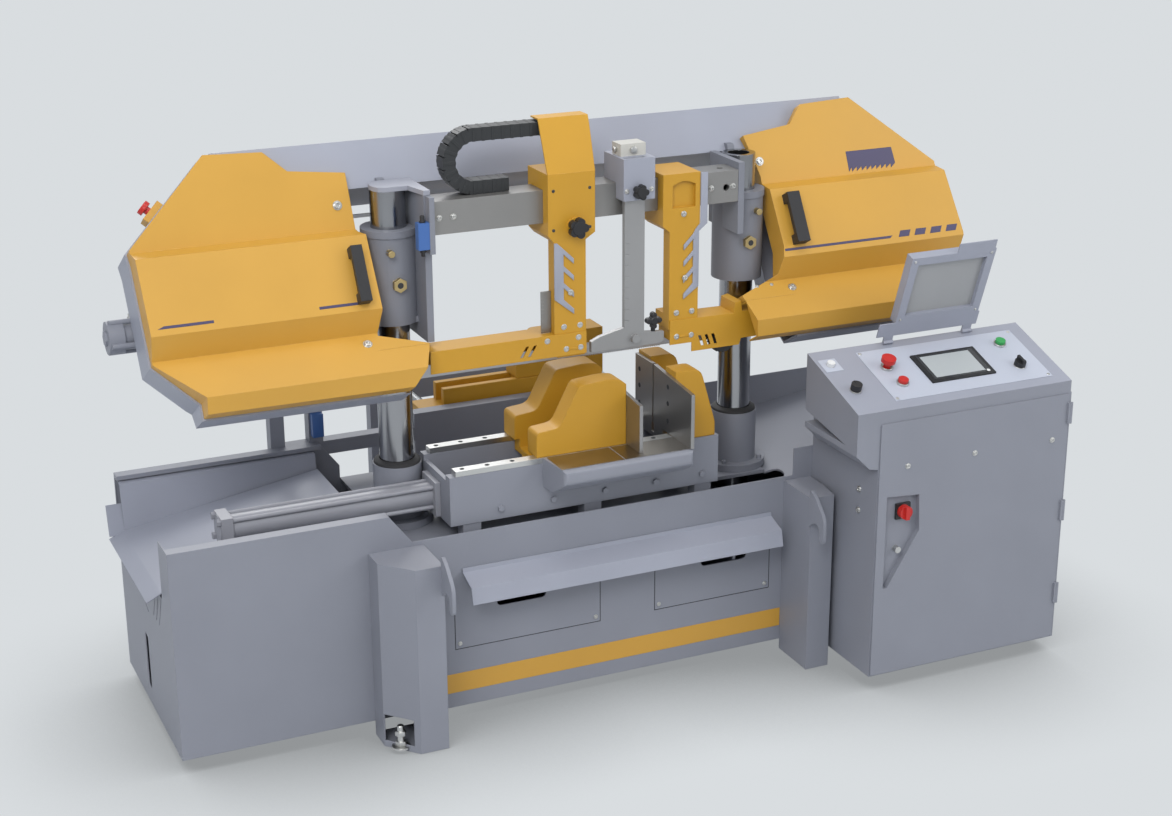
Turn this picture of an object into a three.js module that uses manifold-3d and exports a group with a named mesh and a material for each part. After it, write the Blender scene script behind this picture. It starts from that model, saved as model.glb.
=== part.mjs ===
// Double-column horizontal band saw. Millimetres, Z up, X along the blade, Y from the
// operator to the back. The cutting stretch of the blade lies in the plane Y = 0.
import * as THREE from "three";
import { mergeVertices } from "three/addons/utils/BufferGeometryUtils.js";
import Module from "manifold-3d";

const wasm = await Module();
wasm.setup();

// ---- shared fits ----
const gap = 0.3; // between pieces that touch on the real machine
const running = 0.8; // round a piece that slides
const bladeSeat = 0.8; // between a wheel's rim and the blade on it
const sheet = 3; // folded steel sheet

// ---- base ----
const baseHalf = 1185; // middle of the columns to either end of the base
const baseFront = -155;
const baseRear = 455;
const baseBottom = 40;
const railTop = 602; // top edge of the chip housings
const rimTop = 523; // top edge of the front panel
const deckTop = 485;
const deckPlate = 10;
const centreHalf = 558; // the deck reaches this far to each side
const postInner = 529;
const postFront = -305;
const postTop = 512;

// ---- columns and bow ----
const columnX = 505;
const columnY = 101;
const columnRadius = 46;
const columnBore = 30;
const columnTop = 1386;
const columnFoot = 300;
const collarTop = 650;
const sleeveRadius = 70;
const sleeveBottom = 1040;
const sleeveTop = 1288;
const bladeHeight = 920; // middle of the blade in its cutting stretch
const bladeWidth = 34;
const bladeThickness = 1.2;
const lean = 30; // degrees that the wheels lean back
const wheelX = 870;
const wheelRadius = 214;
const wheelWidth = 34;
const boreRadius = 28;

// ---- wheel covers and housings, in the leaning frame ----
const coverFace = -132;
const coverRim = -62; // where a cover meets its housing
const housingBack = 52;
const beamFront = -95;
const beamBack = 60;
const beamBottom = 2 * wheelRadius + 48; // clear of the blade's top strand
const beamTop = beamBottom + 127;
const beamWall = 8;
const beamHalf = 925;

// ---- guide beam, arms and feeler ----
const guideFront = -17;
const guideBack = 63;
const guideBottom = 1281;
const guideTop = 1367;
const guideLeft = -431;
const guideRight = 441;
const armFront = -50;
const armBack = 80;
const leftArm = [-112, -22];
const rightArm = [221, 307];
const armFoot = 957;
const padBottom = 924;

// ---- vise ----
const bedTop = 680;
const fixedFace = 200;
const movingFace = 74;
const jawTop = 860;
const jawFront = -116;
const jawRear = 110;
const armPass = [-56, 36]; // gap that the guide arms drop into
const bladeSlot = 4;
const wayFront = [-120, -90];
const wayRear = [72, 102];

// ---- control cabinet ----
const cabinetLeft = 618;
const cabinetRight = 1227;
const cabinetFront = -487;
const cabinetBottom = 42;
const consoleLeft = 550;
const consoleFrontTop = 806;
const consoleDepth = 280; // along the slope
const consoleSlope = 19; // degrees

// ================= solid helpers =================

const radians = THREE.MathUtils.degToRad;

// A three.js geometry as a closed manifold solid.
function solid(geometry) {
  const bare = geometry.clone();
  bare.deleteAttribute("normal");
  bare.deleteAttribute("uv");
  const welded = mergeVertices(bare, 1e-4);
  const vertProperties = welded.attributes.position.array;
  const triVerts = new Uint32Array(welded.index.array);
  return new wasm.Manifold(new wasm.Mesh({ numProp: 3, vertProperties, triVerts }));
}

// A manifold solid as a three.js geometry with flat faces.
function geometryOf(made) {
  const { vertProperties, triVerts } = made.getMesh();
  const geometry = new THREE.BufferGeometry();
  geometry.setAttribute("position", new THREE.BufferAttribute(vertProperties, 3));
  geometry.setIndex(new THREE.BufferAttribute(triVerts, 1));
  const flat = geometry.toNonIndexed();
  flat.computeVertexNormals();
  return flat;
}

// A box from its span along each axis.
function box(x, y, z) {
  const geometry = new THREE.BoxGeometry(x[1] - x[0], y[1] - y[0], z[1] - z[0]);
  geometry.translate((x[0] + x[1]) / 2, (y[0] + y[1]) / 2, (z[0] + z[1]) / 2);
  return solid(geometry);
}

// Turns a geometry built along Z so that it runs along the named axis.
function along(axis, geometry) {
  if (axis === "x") geometry.rotateX(Math.PI / 2).rotateZ(Math.PI / 2);
  if (axis === "y") geometry.rotateX(Math.PI / 2);
  return geometry;
}

// A round bar along an axis, at the other two coordinates in X, Y, Z order.
function rod(axis, radius, span, at, sides = 32) {
  const length = span[1] - span[0];
  const middle = (span[0] + span[1]) / 2;
  const geometry = new THREE.CylinderGeometry(radius, radius, length, sides);
  if (axis === "x") geometry.rotateZ(Math.PI / 2).translate(middle, at[0], at[1]);
  if (axis === "y") geometry.translate(at[0], middle, at[1]);
  if (axis === "z") geometry.rotateX(Math.PI / 2).translate(at[0], at[1], middle);
  return solid(geometry);
}

// A round tube.
function tube(axis, outer, inner, span, at, sides = 32) {
  const bore = rod(axis, inner, [span[0] - 1, span[1] + 1], at, sides);
  return rod(axis, outer, span, at, sides).subtract(bore);
}

// A closed outline; a third number on a corner rounds it by that much.
function outline(points) {
  const shape = new THREE.Shape();
  points.forEach(([u, v, round = 0], i) => {
    const corner = new THREE.Vector2(u, v);
    if (!round) return i ? shape.lineTo(u, v) : shape.moveTo(u, v);
    const before = points[(i + points.length - 1) % points.length];
    const after = points[(i + 1) % points.length];
    const toward = ([a, b]) =>
      corner.clone().add(new THREE.Vector2(a - u, b - v).setLength(round));
    const start = toward(before);
    const end = toward(after);
    if (i) shape.lineTo(start.x, start.y);
    else shape.moveTo(start.x, start.y);
    shape.quadraticCurveTo(u, v, end.x, end.y);
  });
  shape.closePath();
  return shape;
}

// An outline pushed along an axis. Its points are (y, z) for x, (x, z) for y, (x, y) for z.
function prism(axis, points, span) {
  const shape = outline(points);
  const settings = { depth: span[1] - span[0], bevelEnabled: false, curveSegments: 4 };
  const geometry = along(axis, new THREE.ExtrudeGeometry(shape, settings));
  const start = axis === "y" ? span[1] : span[0];
  geometry.translate(
    axis === "x" ? start : 0,
    axis === "y" ? start : 0,
    axis === "z" ? start : 0,
  );
  return solid(geometry);
}

// The outline of a sheet folded along a line, with its thickness to the left of the line.
function folded(line, thickness) {
  const normals = line.slice(1).map(([u, v], i) => {
    const step = new THREE.Vector2(u - line[i][0], v - line[i][1]).normalize();
    return new THREE.Vector2(-step.y, step.x);
  });
  const back = line.map(([u, v], i) => {
    const first = normals[Math.max(i - 1, 0)];
    const second = normals[Math.min(i, normals.length - 1)];
    const miter = first.clone().add(second);
    miter.multiplyScalar((2 * thickness) / miter.lengthSq());
    return [u + miter.x, v + miter.y];
  });
  return [...line, ...back.reverse()];
}

// Adds several solids together.
function join(...pieces) {
  return pieces.reduce((sum, piece) => sum.add(piece));
}

// ================= the assembly's groups and finishes =================

const machine = new THREE.Group();
const leaning = new THREE.Group();
leaning.position.set(0, 0, bladeHeight);
leaning.rotation.x = -radians(lean);
const consoleTop = new THREE.Group();
consoleTop.position.set(0, cabinetFront, consoleFrontTop);
consoleTop.rotation.x = radians(consoleSlope);
machine.add(leaning, consoleTop);

const finishes = {
  yellow: { color: 0xe0ab4c, roughness: 0.45, metalness: 0.05 },
  grey: { color: 0x878a95, roughness: 0.5, metalness: 0.1 },
  paleGrey: { color: 0xa5a8b6, roughness: 0.5, metalness: 0.1 },
  steel: { color: 0xb4b4b0, roughness: 0.3, metalness: 0.9 },
  chrome: { color: 0xc9cacc, roughness: 0.12, metalness: 1 },
  castIron: { color: 0x6d7077, roughness: 0.7, metalness: 0.5 },
  black: { color: 0x1d1e20, roughness: 0.5, metalness: 0 },
  panel: { color: 0xc8d0e4, roughness: 0.45, metalness: 0.05 },
  red: { color: 0xc8281f, roughness: 0.4, metalness: 0 },
  green: { color: 0x2f9c4a, roughness: 0.4, metalness: 0 },
};

function add(name, made, finish, group = machine) {
  const material = new THREE.MeshStandardMaterial(finishes[finish]);
  const mesh = new THREE.Mesh(geometryOf(made), material);
  mesh.name = name;
  group.add(mesh);
  return mesh;
}

// ================= base =================

const houseTop = 60; // slope between the rail and the front panel's rim
const chuteRight = -640;
const chuteHigh = 543; // chute floor at its right end
const chuteLow = 455; // and where it leaves the housing
const chuteLip = 37; // how far the chute reaches past the end wall

// Slanted air slots in the left end wall, in two facing columns.
function louvres() {
  const width = 5;
  const pitch = 42;
  const cuts = [];
  for (let i = 0; i < 3; i++) {
    const low = 330 + i * pitch;
    const slot = [[125, low], [125, low + width], [230, low + 45], [230, low + 40]];
    cuts.push(prism("x", slot, [-baseHalf - 1, -baseHalf + sheet + 1]));
  }
  for (let i = 0; i < 3; i++) {
    const near = -50 + i * 32;
    const slot = [[near, 440], [near + width, 440], [near + 50, 350], [near + 45, 350]];
    cuts.push(prism("x", slot, [-baseHalf - 1, -baseHalf + sheet + 1]));
  }
  for (let i = 0; i < 3; i++) {
    const near = 262 + i * 32;
    const slot = [[near, 345], [near + width, 345], [near + 55, 435], [near + 50, 435]];
    cuts.push(prism("x", slot, [-baseHalf - 1, -baseHalf + sheet + 1]));
  }
  return join(...cuts);
}

function leftHousing() {
  const right = -centreHalf;
  const front = [
    [-baseHalf, baseBottom],
    [right, baseBottom],
    [right, rimTop],
    [right - houseTop, railTop],
    [-baseHalf, railTop],
  ];
  const shell = prism("y", front, [baseFront, baseRear]);
  const inside = box(
    [-baseHalf + sheet, right - sheet],
    [baseFront + sheet, baseRear - sheet],
    [baseBottom + sheet, railTop + 1],
  );
  const sideOpening = box([right - 5, right + 5], [baseFront + sheet, baseRear - sheet], [300, 610]);
  const chuteNotch = box([-baseHalf - 1, -baseHalf + 5], [-60, baseRear - 5], [chuteLow - 10, 610]);
  const slot = [[165, 90, 12], [165, 245, 12], [200, 245, 12], [200, 90, 12]];
  const tallSlot = prism("x", slot, [-baseHalf - 1, -baseHalf + sheet + 1]);
  const railSpan = [-baseHalf, right - houseTop];
  const rails = [baseFront, baseRear - 35].map((y) =>
    box(railSpan, [y, y + 35], [railTop - 12, railTop]),
  );
  return join(shell.subtract(inside).subtract(join(sideOpening, chuteNotch)), ...rails)
    .subtract(join(louvres(), tallSlot));
}

// Chip chute: a floor that falls to the left and a steep back flank.
function chipChute() {
  const left = -baseHalf - chuteLip;
  const fall = (chuteHigh - chuteLow) / (chuteRight + baseHalf);
  const floorLine = [
    [left, chuteLow - chuteLip * fall - 12],
    [-baseHalf, chuteLow],
    [chuteRight, chuteHigh],
  ];
  const inner = [baseFront + sheet + gap, baseRear - sheet - gap];
  const floor = prism("y", folded(floorLine, sheet), [inner[0] + 100, inner[1] - 60]);
  const toe = prism("y", folded(floorLine.slice(1), sheet), [inner[0], inner[1] - 60]).intersect(
    box([-baseHalf + sheet + 1, chuteRight + 5], inner, [0, railTop]),
  );
  const railUnder = railTop - 12 - gap;
  const flankLine = [
    [inner[1] - 62, chuteLow - 8],
    [inner[1] - 42, railUnder - 8],
    [inner[1] - 1, railUnder - 4],
  ];
  const flank = prism("x", folded(flankLine, sheet), [-baseHalf + sheet + 1, chuteRight]);
  const lipLine = [[inner[1] - 62, chuteLow - 8], [inner[1] - 42, railUnder - 60]];
  const lip = prism("x", folded(lipLine, sheet), [left, -baseHalf + 10]);
  return join(floor, toe, flank, lip);
}

function frontPanel() {
  const plate = box([-centreHalf + gap, centreHalf - gap], [baseFront, baseFront + 4], [30, rimTop]);
  const holes = [[-330, -189], [274, 415]].map(([a, b]) =>
    prism("y", [[a, 300, 14], [b, 300, 14], [b, 347, 14], [a, 347, 14]], [-200, -100]),
  );
  return plate.subtract(join(...holes));
}

// Folded drip shelf on the front panel, above the hand openings.
function dripShelf() {
  const line = [
    [baseFront - gap, 425],
    [baseFront - 2 - gap, 413],
    [baseFront - 62, 392],
    [baseFront - 72, 350],
  ];
  return prism("x", folded(line, -sheet), [-425, 490]);
}

const chipOpening = [[335, -115, 20], [540, -115, 20], [600, -40, 20], [600, 5, 20], [335, 5, 20]];

// Welded centre frame: deck, back wall, cross webs and the right chip housing.
function baseFrame() {
  const inner = centreHalf - gap;
  const deck = box([-inner, inner], [baseFront + 5, baseRear], [deckTop - deckPlate, deckTop]);
  const back = box([-inner, inner], [baseRear - 6, baseRear], [baseBottom, deckTop]);
  const floor = box([-inner, baseHalf - 1], [baseFront + 5, baseRear], [baseBottom, baseBottom + 5]);
  const webs = [-380, 0, 380].map((x) =>
    box([x - 4, x + 4], [baseFront + 5, baseRear], [baseBottom, deckTop]),
  );
  const right = box([centreHalf, baseHalf], [baseFront, baseRear], [baseBottom, railTop]);
  const rightInside = box(
    [centreHalf - 5, baseHalf - sheet],
    [baseFront + sheet, baseRear - sheet],
    [baseBottom + sheet, railTop + 1],
  );
  const panLine = [[centreHalf - 1, deckTop - 8], [baseHalf - 2, railTop - 40]];
  const pan = prism("y", folded(panLine, -6), [baseFront + 5, baseRear - 1]);
  const footY = [baseRear - 90, baseRear - 10];
  const feet = [-520, 480].map((x) =>
    box([x, x + 60], footY, [0, baseBottom + 3]),
  );
  const endFeet = box([baseHalf - 90, baseHalf - 10], footY, [0, baseBottom + 3]);
  const openings = join(
    prism("z", chipOpening, [deckTop - 40, deckTop + 1]),
    ...[-columnX, columnX].map((x) =>
      rod("z", columnRadius + 8, [baseBottom + 20, deckTop + 1], [x, columnY]),
    ),
    ...[-190, 190].map((x) => box([x - 150, x + 150], [-100, 380], [deckTop - 20, deckTop - 12])),
  );
  return join(deck, back, floor, ...webs, right.subtract(rightInside), pan, ...feet, endFeet)
    .subtract(openings);
}

// Folded corner post. side is -1 for the left one and 1 for the right one.
function cornerPost(side) {
  const outer = side < 0 ? 677 : 612;
  const foot = side < 0 ? 605 : 600;
  const turn = ([x, y]) => [side * x, y];
  const path = [
    [outer, baseFront - gap],
    [outer, -225],
    [foot, postFront],
    [postInner, postFront],
    [postInner, baseFront - gap],
  ];
  const order = side < 0 ? path : [...path].reverse();
  const walls = prism("z", folded(order.map(turn), sheet), [0, postTop]);
  const plan = order.map(turn);
  const cap = prism("z", plan, [postTop - sheet, postTop]);
  const sole = prism("z", plan, [0, 8]);
  const window = box(
    side < 0 ? [-outer - 5, -foot - 12] : [foot + 50, foot + 60],
    [postFront + 8, -225],
    [18, 92],
  );
  const hook = side < 0 ? hookPlate(-postInner - 8) : hookPlate(postInner - 8 + sheet);
  return join(walls.subtract(window), cap, sole, hook);
}

// Lifting hook: an upright plate with an open throat, welded to a post's front.
function hookPlate(x) {
  const profile = [
    [postFront + 1, 540, 10],
    [postFront - 28, 525, 14],
    [postFront - 74, 478, 20],
    [postFront - 74, 405, 12],
    [postFront - 52, 405, 8],
    [postFront - 52, 452, 18],
    [postFront - 22, 452, 18],
    [postFront + 1, 430],
  ];
  return prism("x", profile, [x, x + 10]);
}

add("left_housing", leftHousing(), "grey");
add("chip_chute", chipChute(), "grey");
add("front_panel", frontPanel(), "grey");
add("drip_shelf", dripShelf(), "grey");
add("base_frame", baseFrame(), "grey");
add("left_post", cornerPost(-1), "grey");
add("right_post", cornerPost(1), "grey");

// ================= columns and the bow they carry =================

const sleeveX = [-columnX, columnX];

// Flanged guide collar that stands on the deck; the column slides through it.
function columnBase(x) {
  const at = [x, columnY];
  const collar = rod("z", 65, [deckTop + gap, collarTop], at);
  const flange = rod("z", 92, [deckTop + gap, deckTop + 20], at);
  const bore = rod("z", columnRadius + running, [deckTop - 1, collarTop + 1], at);
  const bolts = [45, 135, 225, 315].map((turn) => {
    const place = [x + 79 * Math.cos(radians(turn)), columnY + 79 * Math.sin(radians(turn))];
    return rod("z", 7, [deckTop + 19, deckTop + 30], place, 6);
  });
  return join(collar, flange, ...bolts).subtract(bore);
}

function leftColumn() {
  const bar = rod("z", columnRadius, [columnFoot, columnTop], [-columnX, columnY]);
  const bore = rod("z", columnBore, [columnFoot - 1, columnTop - 6], [-columnX, columnY]);
  const cap = [
    [-552, 54, 42],
    [-552, 142, 42],
    [-432, 142],
    [-432, -17],
    [-450, -17],
    [-466, 54],
  ];
  return join(bar.subtract(bore), prism("z", cap, [columnTop, columnTop + 12]));
}

function rightColumn() {
  return tube("z", columnRadius, columnBore, [columnFoot, columnTop], [columnX, columnY]);
}

// The back beam's outer block, grown by an allowance.
function beamBlock(allowance) {
  return box(
    [-beamHalf - allowance, beamHalf - 35 + allowance],
    [beamFront - allowance, beamBack + allowance],
    [beamBottom - allowance, beamTop + allowance],
  );
}

// The same block seen from the upright frame.
function uprightBeamBlock(allowance) {
  const x = [-beamHalf - allowance, beamHalf - 35 + allowance];
  const y = [beamFront - allowance, beamBack + allowance];
  const z = [beamBottom - allowance, beamTop + allowance];
  const geometry = new THREE.BoxGeometry(x[1] - x[0], y[1] - y[0], z[1] - z[0]);
  geometry.translate((x[0] + x[1]) / 2, (y[0] + y[1]) / 2, (z[0] + z[1]) / 2);
  geometry.rotateX(-radians(lean)).translate(0, 0, bladeHeight);
  return solid(geometry);
}

// Clamp sleeve with its side plate, foot plate and the web that carries the back beam.
function bowSleeve(side) {
  const x = side * columnX;
  const at = [x, columnY];
  const barrel = rod("z", sleeveRadius, [sleeveBottom, sleeveTop], at);
  const ring = rod("z", 73, [sleeveTop - 18, sleeveTop], at);
  const span = (a, b) => (side < 0 ? [-b, -a] : [a, b]);
  const plateNear = side < 0 ? 432 : 442;
  const plateFoot = side < 0 ? sleeveBottom - 37 : sleeveBottom + 150;
  const plateSpan = span(plateNear, plateNear + 18);
  const sidePlate = box(plateSpan, [-17, 150], [plateFoot, columnTop - gap]);
  const footPlate = box(span(plateNear + 8, 560), [50, 150], [sleeveBottom, sleeveBottom + 15]);
  const web = prism(
    "x",
    [[columnY, 1060], [columnY, sleeveTop], [150, 1400], [190, 1400], [190, 1250], [165, 1060]],
    span(495, 515),
  );
  const plug = rod("y", 19, [20, 60], [x, 1150], 6);
  const fitting = rod("y", 9, [15, 60], [x + side * 22, 1235], 12);
  const bore = rod("z", columnRadius + gap, [900, columnTop + 20], at);
  const extras = side < 0 ? join(footPlate, sensorBracket()) : plug;
  return join(barrel, ring, sidePlate, web, plug, fitting, extras)
    .subtract(join(bore, uprightBeamBlock(gap)));
}

function sensorBracket() {
  const upper = box([-446, -432], [-46, -16], [1240, 1385]);
  const body = box([-476, -446], [-45, -22], [1253, 1322]);
  return join(upper, body);
}

function backBeam() {
  const hollow = box(
    [-beamHalf - 1, beamHalf],
    [beamFront + beamWall, beamBack - beamWall],
    [beamBottom + beamWall, beamTop - beamWall],
  );
  return beamBlock(0).subtract(hollow);
}

function guideBeam() {
  const bar = box([guideLeft, guideRight], [guideFront, guideBack], [guideBottom, guideTop]);
  const hollow = box(
    [guideLeft - 1, guideRight + 1],
    [guideFront + 12, guideBack - 12],
    [guideBottom + 12, guideTop - 12],
  );
  const holes = join(
    rod("z", 9, [guideTop - 13, guideTop + 1], [405, 22], 16),
    rod("y", 9, [guideFront - 1, guideFront + 13], [405, 1322], 16),
  );
  return bar.subtract(join(hollow, holes));
}

add("column_base_left", columnBase(-columnX), "grey");
add("column_base_right", columnBase(columnX), "grey");
add("lift_ram", rod("z", 20, [baseBottom + 5 + gap, 900], [-columnX, columnY]), "chrome");
add("column_left", leftColumn(), "chrome");
add("column_right", rightColumn(), "chrome");
add("bow_sleeve_left", bowSleeve(-1), "grey");
add("bow_sleeve_right", bowSleeve(1), "grey");
add("back_beam", backBeam(), "paleGrey", leaning);
add("guide_beam", guideBeam(), "steel");

// ================= wheels, housings and covers (leaning frame) =================

const wheelHeight = wheelRadius + bladeSeat + bladeThickness / 2;
const bladeTop = 2 * wheelHeight;

// Outlines of the two covers, as distance from the middle and height.
const leftOutline = [
  [597, 513], [745, 530], [802, 583], [952, 589], [1164, 377], [1160, 344], [1156, 151],
  [1155, 91], [1052, -15], [1052, -52], [525, -56], [493, -19], [462, 52], [586, 92],
  [575, 145], [579, 344], [592, 359],
];
const rightOutline = [
  [545, 507], [695, 526], [737, 578], [895, 585], [1146, 383], [1150, 346], [1162, 160],
  [1155, 91], [1052, -15], [1052, -54], [452, -54], [443, 67], [567, 114], [584, 181],
  [581, 350], [580, 392],
];
const coverProfile = [
  [0, 640], [coverFace, 640], [coverFace, 589], [-97, 370], [coverFace, 344],
  [coverFace, 150], [-80, 100], [-140, -15], [-112, -56], [-112, -90], [0, -90],
];

// Moves a closed outline inwards by a distance.
function shrink(points, distance) {
  const area = points.reduce((sum, [u, v], i) => {
    const [a, b] = points[(i + 1) % points.length];
    return sum + u * b - a * v;
  }, 0);
  const turn = area > 0 ? distance : -distance;
  const normals = points.map(([u, v], i) => {
    const [a, b] = points[(i + 1) % points.length];
    return new THREE.Vector2(v - b, a - u).normalize();
  });
  return points.map(([u, v], i) => {
    const miter = normals[i].clone().add(normals[(i + points.length - 1) % points.length]);
    miter.multiplyScalar((2 * turn) / miter.lengthSq());
    return [u + miter.x, v + miter.y];
  });
}

const tensionAt = [96, 213.5]; // axis of the blade tension cylinder

const mirrored = (points, side) => points.map(([u, v]) => [side * u, v]);

// A wheel housing: back plate and rim wall, open to the front and towards the blade.
function wheelHousing(side, points) {
  const body = points.filter(([u, v]) => u > 540 || v < 0);
  const front = coverRim + gap;
  const depth = [front - 2, housingBack];
  const back = housingBack;
  const section = [[front, 640], [front, -90], [20, -90], [20, -62], [back, -5], [back, 640]];
  const room = [
    [front - 9, 641], [front - 9, -84], [16, -84], [16, -58], [back - 6, -3], [back - 6, 641],
  ];
  const outer = prism("y", mirrored(shrink(body, -5), side), depth).intersect(
    prism("x", section, [-1300, 1300]),
  );
  const inner = prism("y", mirrored(shrink(body, 1.5), side), depth).intersect(
    prism("x", room, [-1301, 1301]),
  );
  const span = (a, b) => (side < 0 ? [-b, -a] : [a, b]);
  const inward = box(span(300, 600), [front - 1, housingBack + 1], [-60, 640]);
  return outer.subtract(join(inner, inward, beamBlock(gap)));
}

function leftHousingOfWheel() {
  const slot = box([-935, -805], [housingBack - 10, housingBack + 1], [180, 250]);
  const rails = [[145, 160], [270, 285]].map((z) => box([-960, -780], [housingBack - 1, 96], z));
  const arm = box([-1130, -1095], [housingBack - 1, 140], [165, 262]);
  const port = rod("x", 14, [-1140, -1090], tensionAt, 20);
  return wheelHousing(-1, leftOutline).subtract(slot).add(join(...rails, arm)).subtract(port);
}

function rightHousingOfWheel() {
  const hole = rod("y", 40, [housingBack - 10, housingBack + 1], [wheelX, wheelHeight]);
  return wheelHousing(1, rightOutline).subtract(hole);
}

// A folded cover: a shell with a rim flange, open behind.
function wheelCover(side, points, handle) {
  const outer = prism("x", coverProfile, [-1300, 1300]);
  const inner = prism("x", shrink(coverProfile, sheet), [-1301, 1301]);
  const depth = [-200, coverRim];
  const whole = outer.intersect(prism("y", mirrored(points, side), depth));
  const hollow = inner.intersect(prism("y", mirrored(shrink(points, sheet), side), [-200, -10]));
  const span = (a, b) => (side < 0 ? [-b, -a] : [a, b]);
  const pass = box(span(400, 600), [-106, -10], [-50, 50]);
  return whole.subtract(join(hollow, pass, beamBlock(2))).add(handle);
}

// Bridge handle: a bar on two feet, standing on the cover's front.
function coverHandle(x, low, high) {
  const face = coverFace + 1;
  const bar = box(x, [face - 34, face - 20], [low, high]);
  const feet = [[low, low + 26], [high - 26, high]].map((z) => box(x, [face - 30, face], z));
  return join(bar, ...feet);
}

function wheel(x) {
  const at = [x, wheelHeight];
  const half = wheelWidth / 2;
  const rim = tube("y", wheelRadius, wheelRadius - 26, [-half, half], at, 48);
  const web = tube("y", wheelRadius - 20, boreRadius + gap, [-6, 6], at, 48);
  const hub = tube("y", 56, boreRadius + gap, [-half, half], at);
  const holes = [0, 72, 144, 216, 288].map((turn) => {
    const place = [x + 120 * Math.cos(radians(turn)), wheelHeight + 120 * Math.sin(radians(turn))];
    return rod("y", 36, [-10, 10], place, 24);
  });
  return join(rim, web, hub).subtract(join(...holes));
}

// Slide behind the left housing with the idler's spindle and the ram that tightens the blade.
function idlerCarriage() {
  const block = box([-930, -810], [housingBack + gap, 110], [160 + gap, 270 - gap]);
  const spindle = rod("y", boreRadius, [-wheelWidth / 2 - 8, 60], [-wheelX, wheelHeight]);
  const ram = rod("x", 12, [-1165, -925], tensionAt, 24);
  return join(block, spindle, ram);
}

// Blade tension cylinder: cap, barrel and tie rods.
function tensionCylinder() {
  const cap = rod("x", 42, [-1220, -1180], tensionAt, 36);
  const barrel = rod("x", 34, [-1181, -1130 - gap], tensionAt, 36);
  const bolts = [[66, 183], [66, 244], [126, 183], [126, 244]].map((place) =>
    rod("x", 7, [-1215, -1130 - gap], place, 12),
  );
  const bore = rod("x", 13.5, [-1175, -1120], tensionAt, 24);
  return join(cap, barrel, ...bolts, rod("x", 20, [-1226, -1219], tensionAt, 6)).subtract(bore);
}

// Worm gearbox with its motor standing behind the back beam.
function gearMotor() {
  const gearbox = box([660, 960], [housingBack + gap, 215], [120, 320]);
  const shaft = rod("y", boreRadius, [-wheelWidth / 2 - 8, 60], [wheelX, wheelHeight]);
  const neck = rod("z", 62, [319, 350], [738, 148], 36);
  const stator = rod("z", 75, [349, 590], [738, 148], 36);
  const fins = Array.from({ length: 24 }, (_, i) => {
    const turn = (i * Math.PI) / 12;
    return rod("z", 4, [370, 570], [738 + 76 * Math.cos(turn), 148 + 76 * Math.sin(turn)], 6);
  });
  const cowl = rod("z", 79, [588, 640], [738, 148], 36);
  const terminals = box([795, 860], [110, 190], [430, 530]);
  return join(gearbox, shaft, neck, stator, ...fins, cowl, terminals);
}

// Points along the blade's loop with the direction of its width and of its back.
function bladeLoop() {
  const stops = [];
  const twist = radians(90 - lean);
  const guided = 470;
  const settle = 60;
  const twisted = wheelX - settle - guided;
  const push = (x, z, roll, turn) => stops.push({ x, z, roll, turn });
  push(wheelX, 0, 0, 0);
  for (let i = 0; i <= 10; i++) {
    push(wheelX - settle - (twisted * i) / 10, 0, (twist * i) / 10, 0);
  }
  for (let i = 0; i <= 10; i++) {
    push(-guided - (twisted * i) / 10, 0, twist * (1 - i / 10), 0);
  }
  push(-wheelX, 0, 0, 0);
  for (let i = 1; i < 24; i++) {
    const turn = (Math.PI * i) / 24;
    const x = -wheelX - wheelHeight * Math.sin(turn);
    push(x, wheelHeight * (1 - Math.cos(turn)), 0, turn);
  }
  push(-wheelX, bladeTop, 0, Math.PI);
  push(wheelX, bladeTop, 0, Math.PI);
  for (let i = 1; i < 24; i++) {
    const turn = Math.PI * (1 + i / 24);
    const x = wheelX - wheelHeight * Math.sin(turn);
    push(x, wheelHeight * (1 - Math.cos(turn)), 0, turn);
  }
  return stops;
}

// The blade: a ring of four-sided section, bent to the loop and twisted between the guides.
function sawBlade() {
  const stops = bladeLoop();
  const count = stops.length;
  const geometry = new THREE.TorusGeometry(100, 10, 4, count);
  const place = geometry.attributes.position;
  const corners = [[1, 1], [1, -1], [-1, -1], [-1, 1], [1, 1]];
  for (let j = 0; j <= 4; j++) {
    for (let i = 0; i <= count; i++) {
      const { x, z, roll, turn } = stops[i % count];
      const width = (corners[j][0] * bladeWidth) / 2;
      const back = (corners[j][1] * bladeThickness) / 2;
      const y = width * Math.cos(roll) + back * Math.sin(roll);
      const out = back * Math.cos(roll) - width * Math.sin(roll);
      place.setXYZ(
        j * (count + 1) + i,
        x + out * Math.sin(turn),
        y,
        z + out * Math.cos(turn),
      );
    }
  }
  const made = solid(geometry);
  if (made.volume() > 0) return made;
  const index = geometry.index.array;
  for (let i = 0; i < index.length; i += 3) {
    [index[i + 1], index[i + 2]] = [index[i + 2], index[i + 1]];
  }
  return solid(geometry);
}

// Emergency stop on the slanted edge of the left housing: its box and its mushroom head.
const bowStopAt = [0, -28];

function bowStopBox() {
  return box([-30, 30], [-48, -8], [gap, 18]).subtract(rod("z", 11, [6, 19], bowStopAt, 20));
}

function bowStopHead() {
  return join(rod("z", 10, [13, 30], bowStopAt, 20), rod("z", 19, [28, 40], bowStopAt, 28));
}

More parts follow.
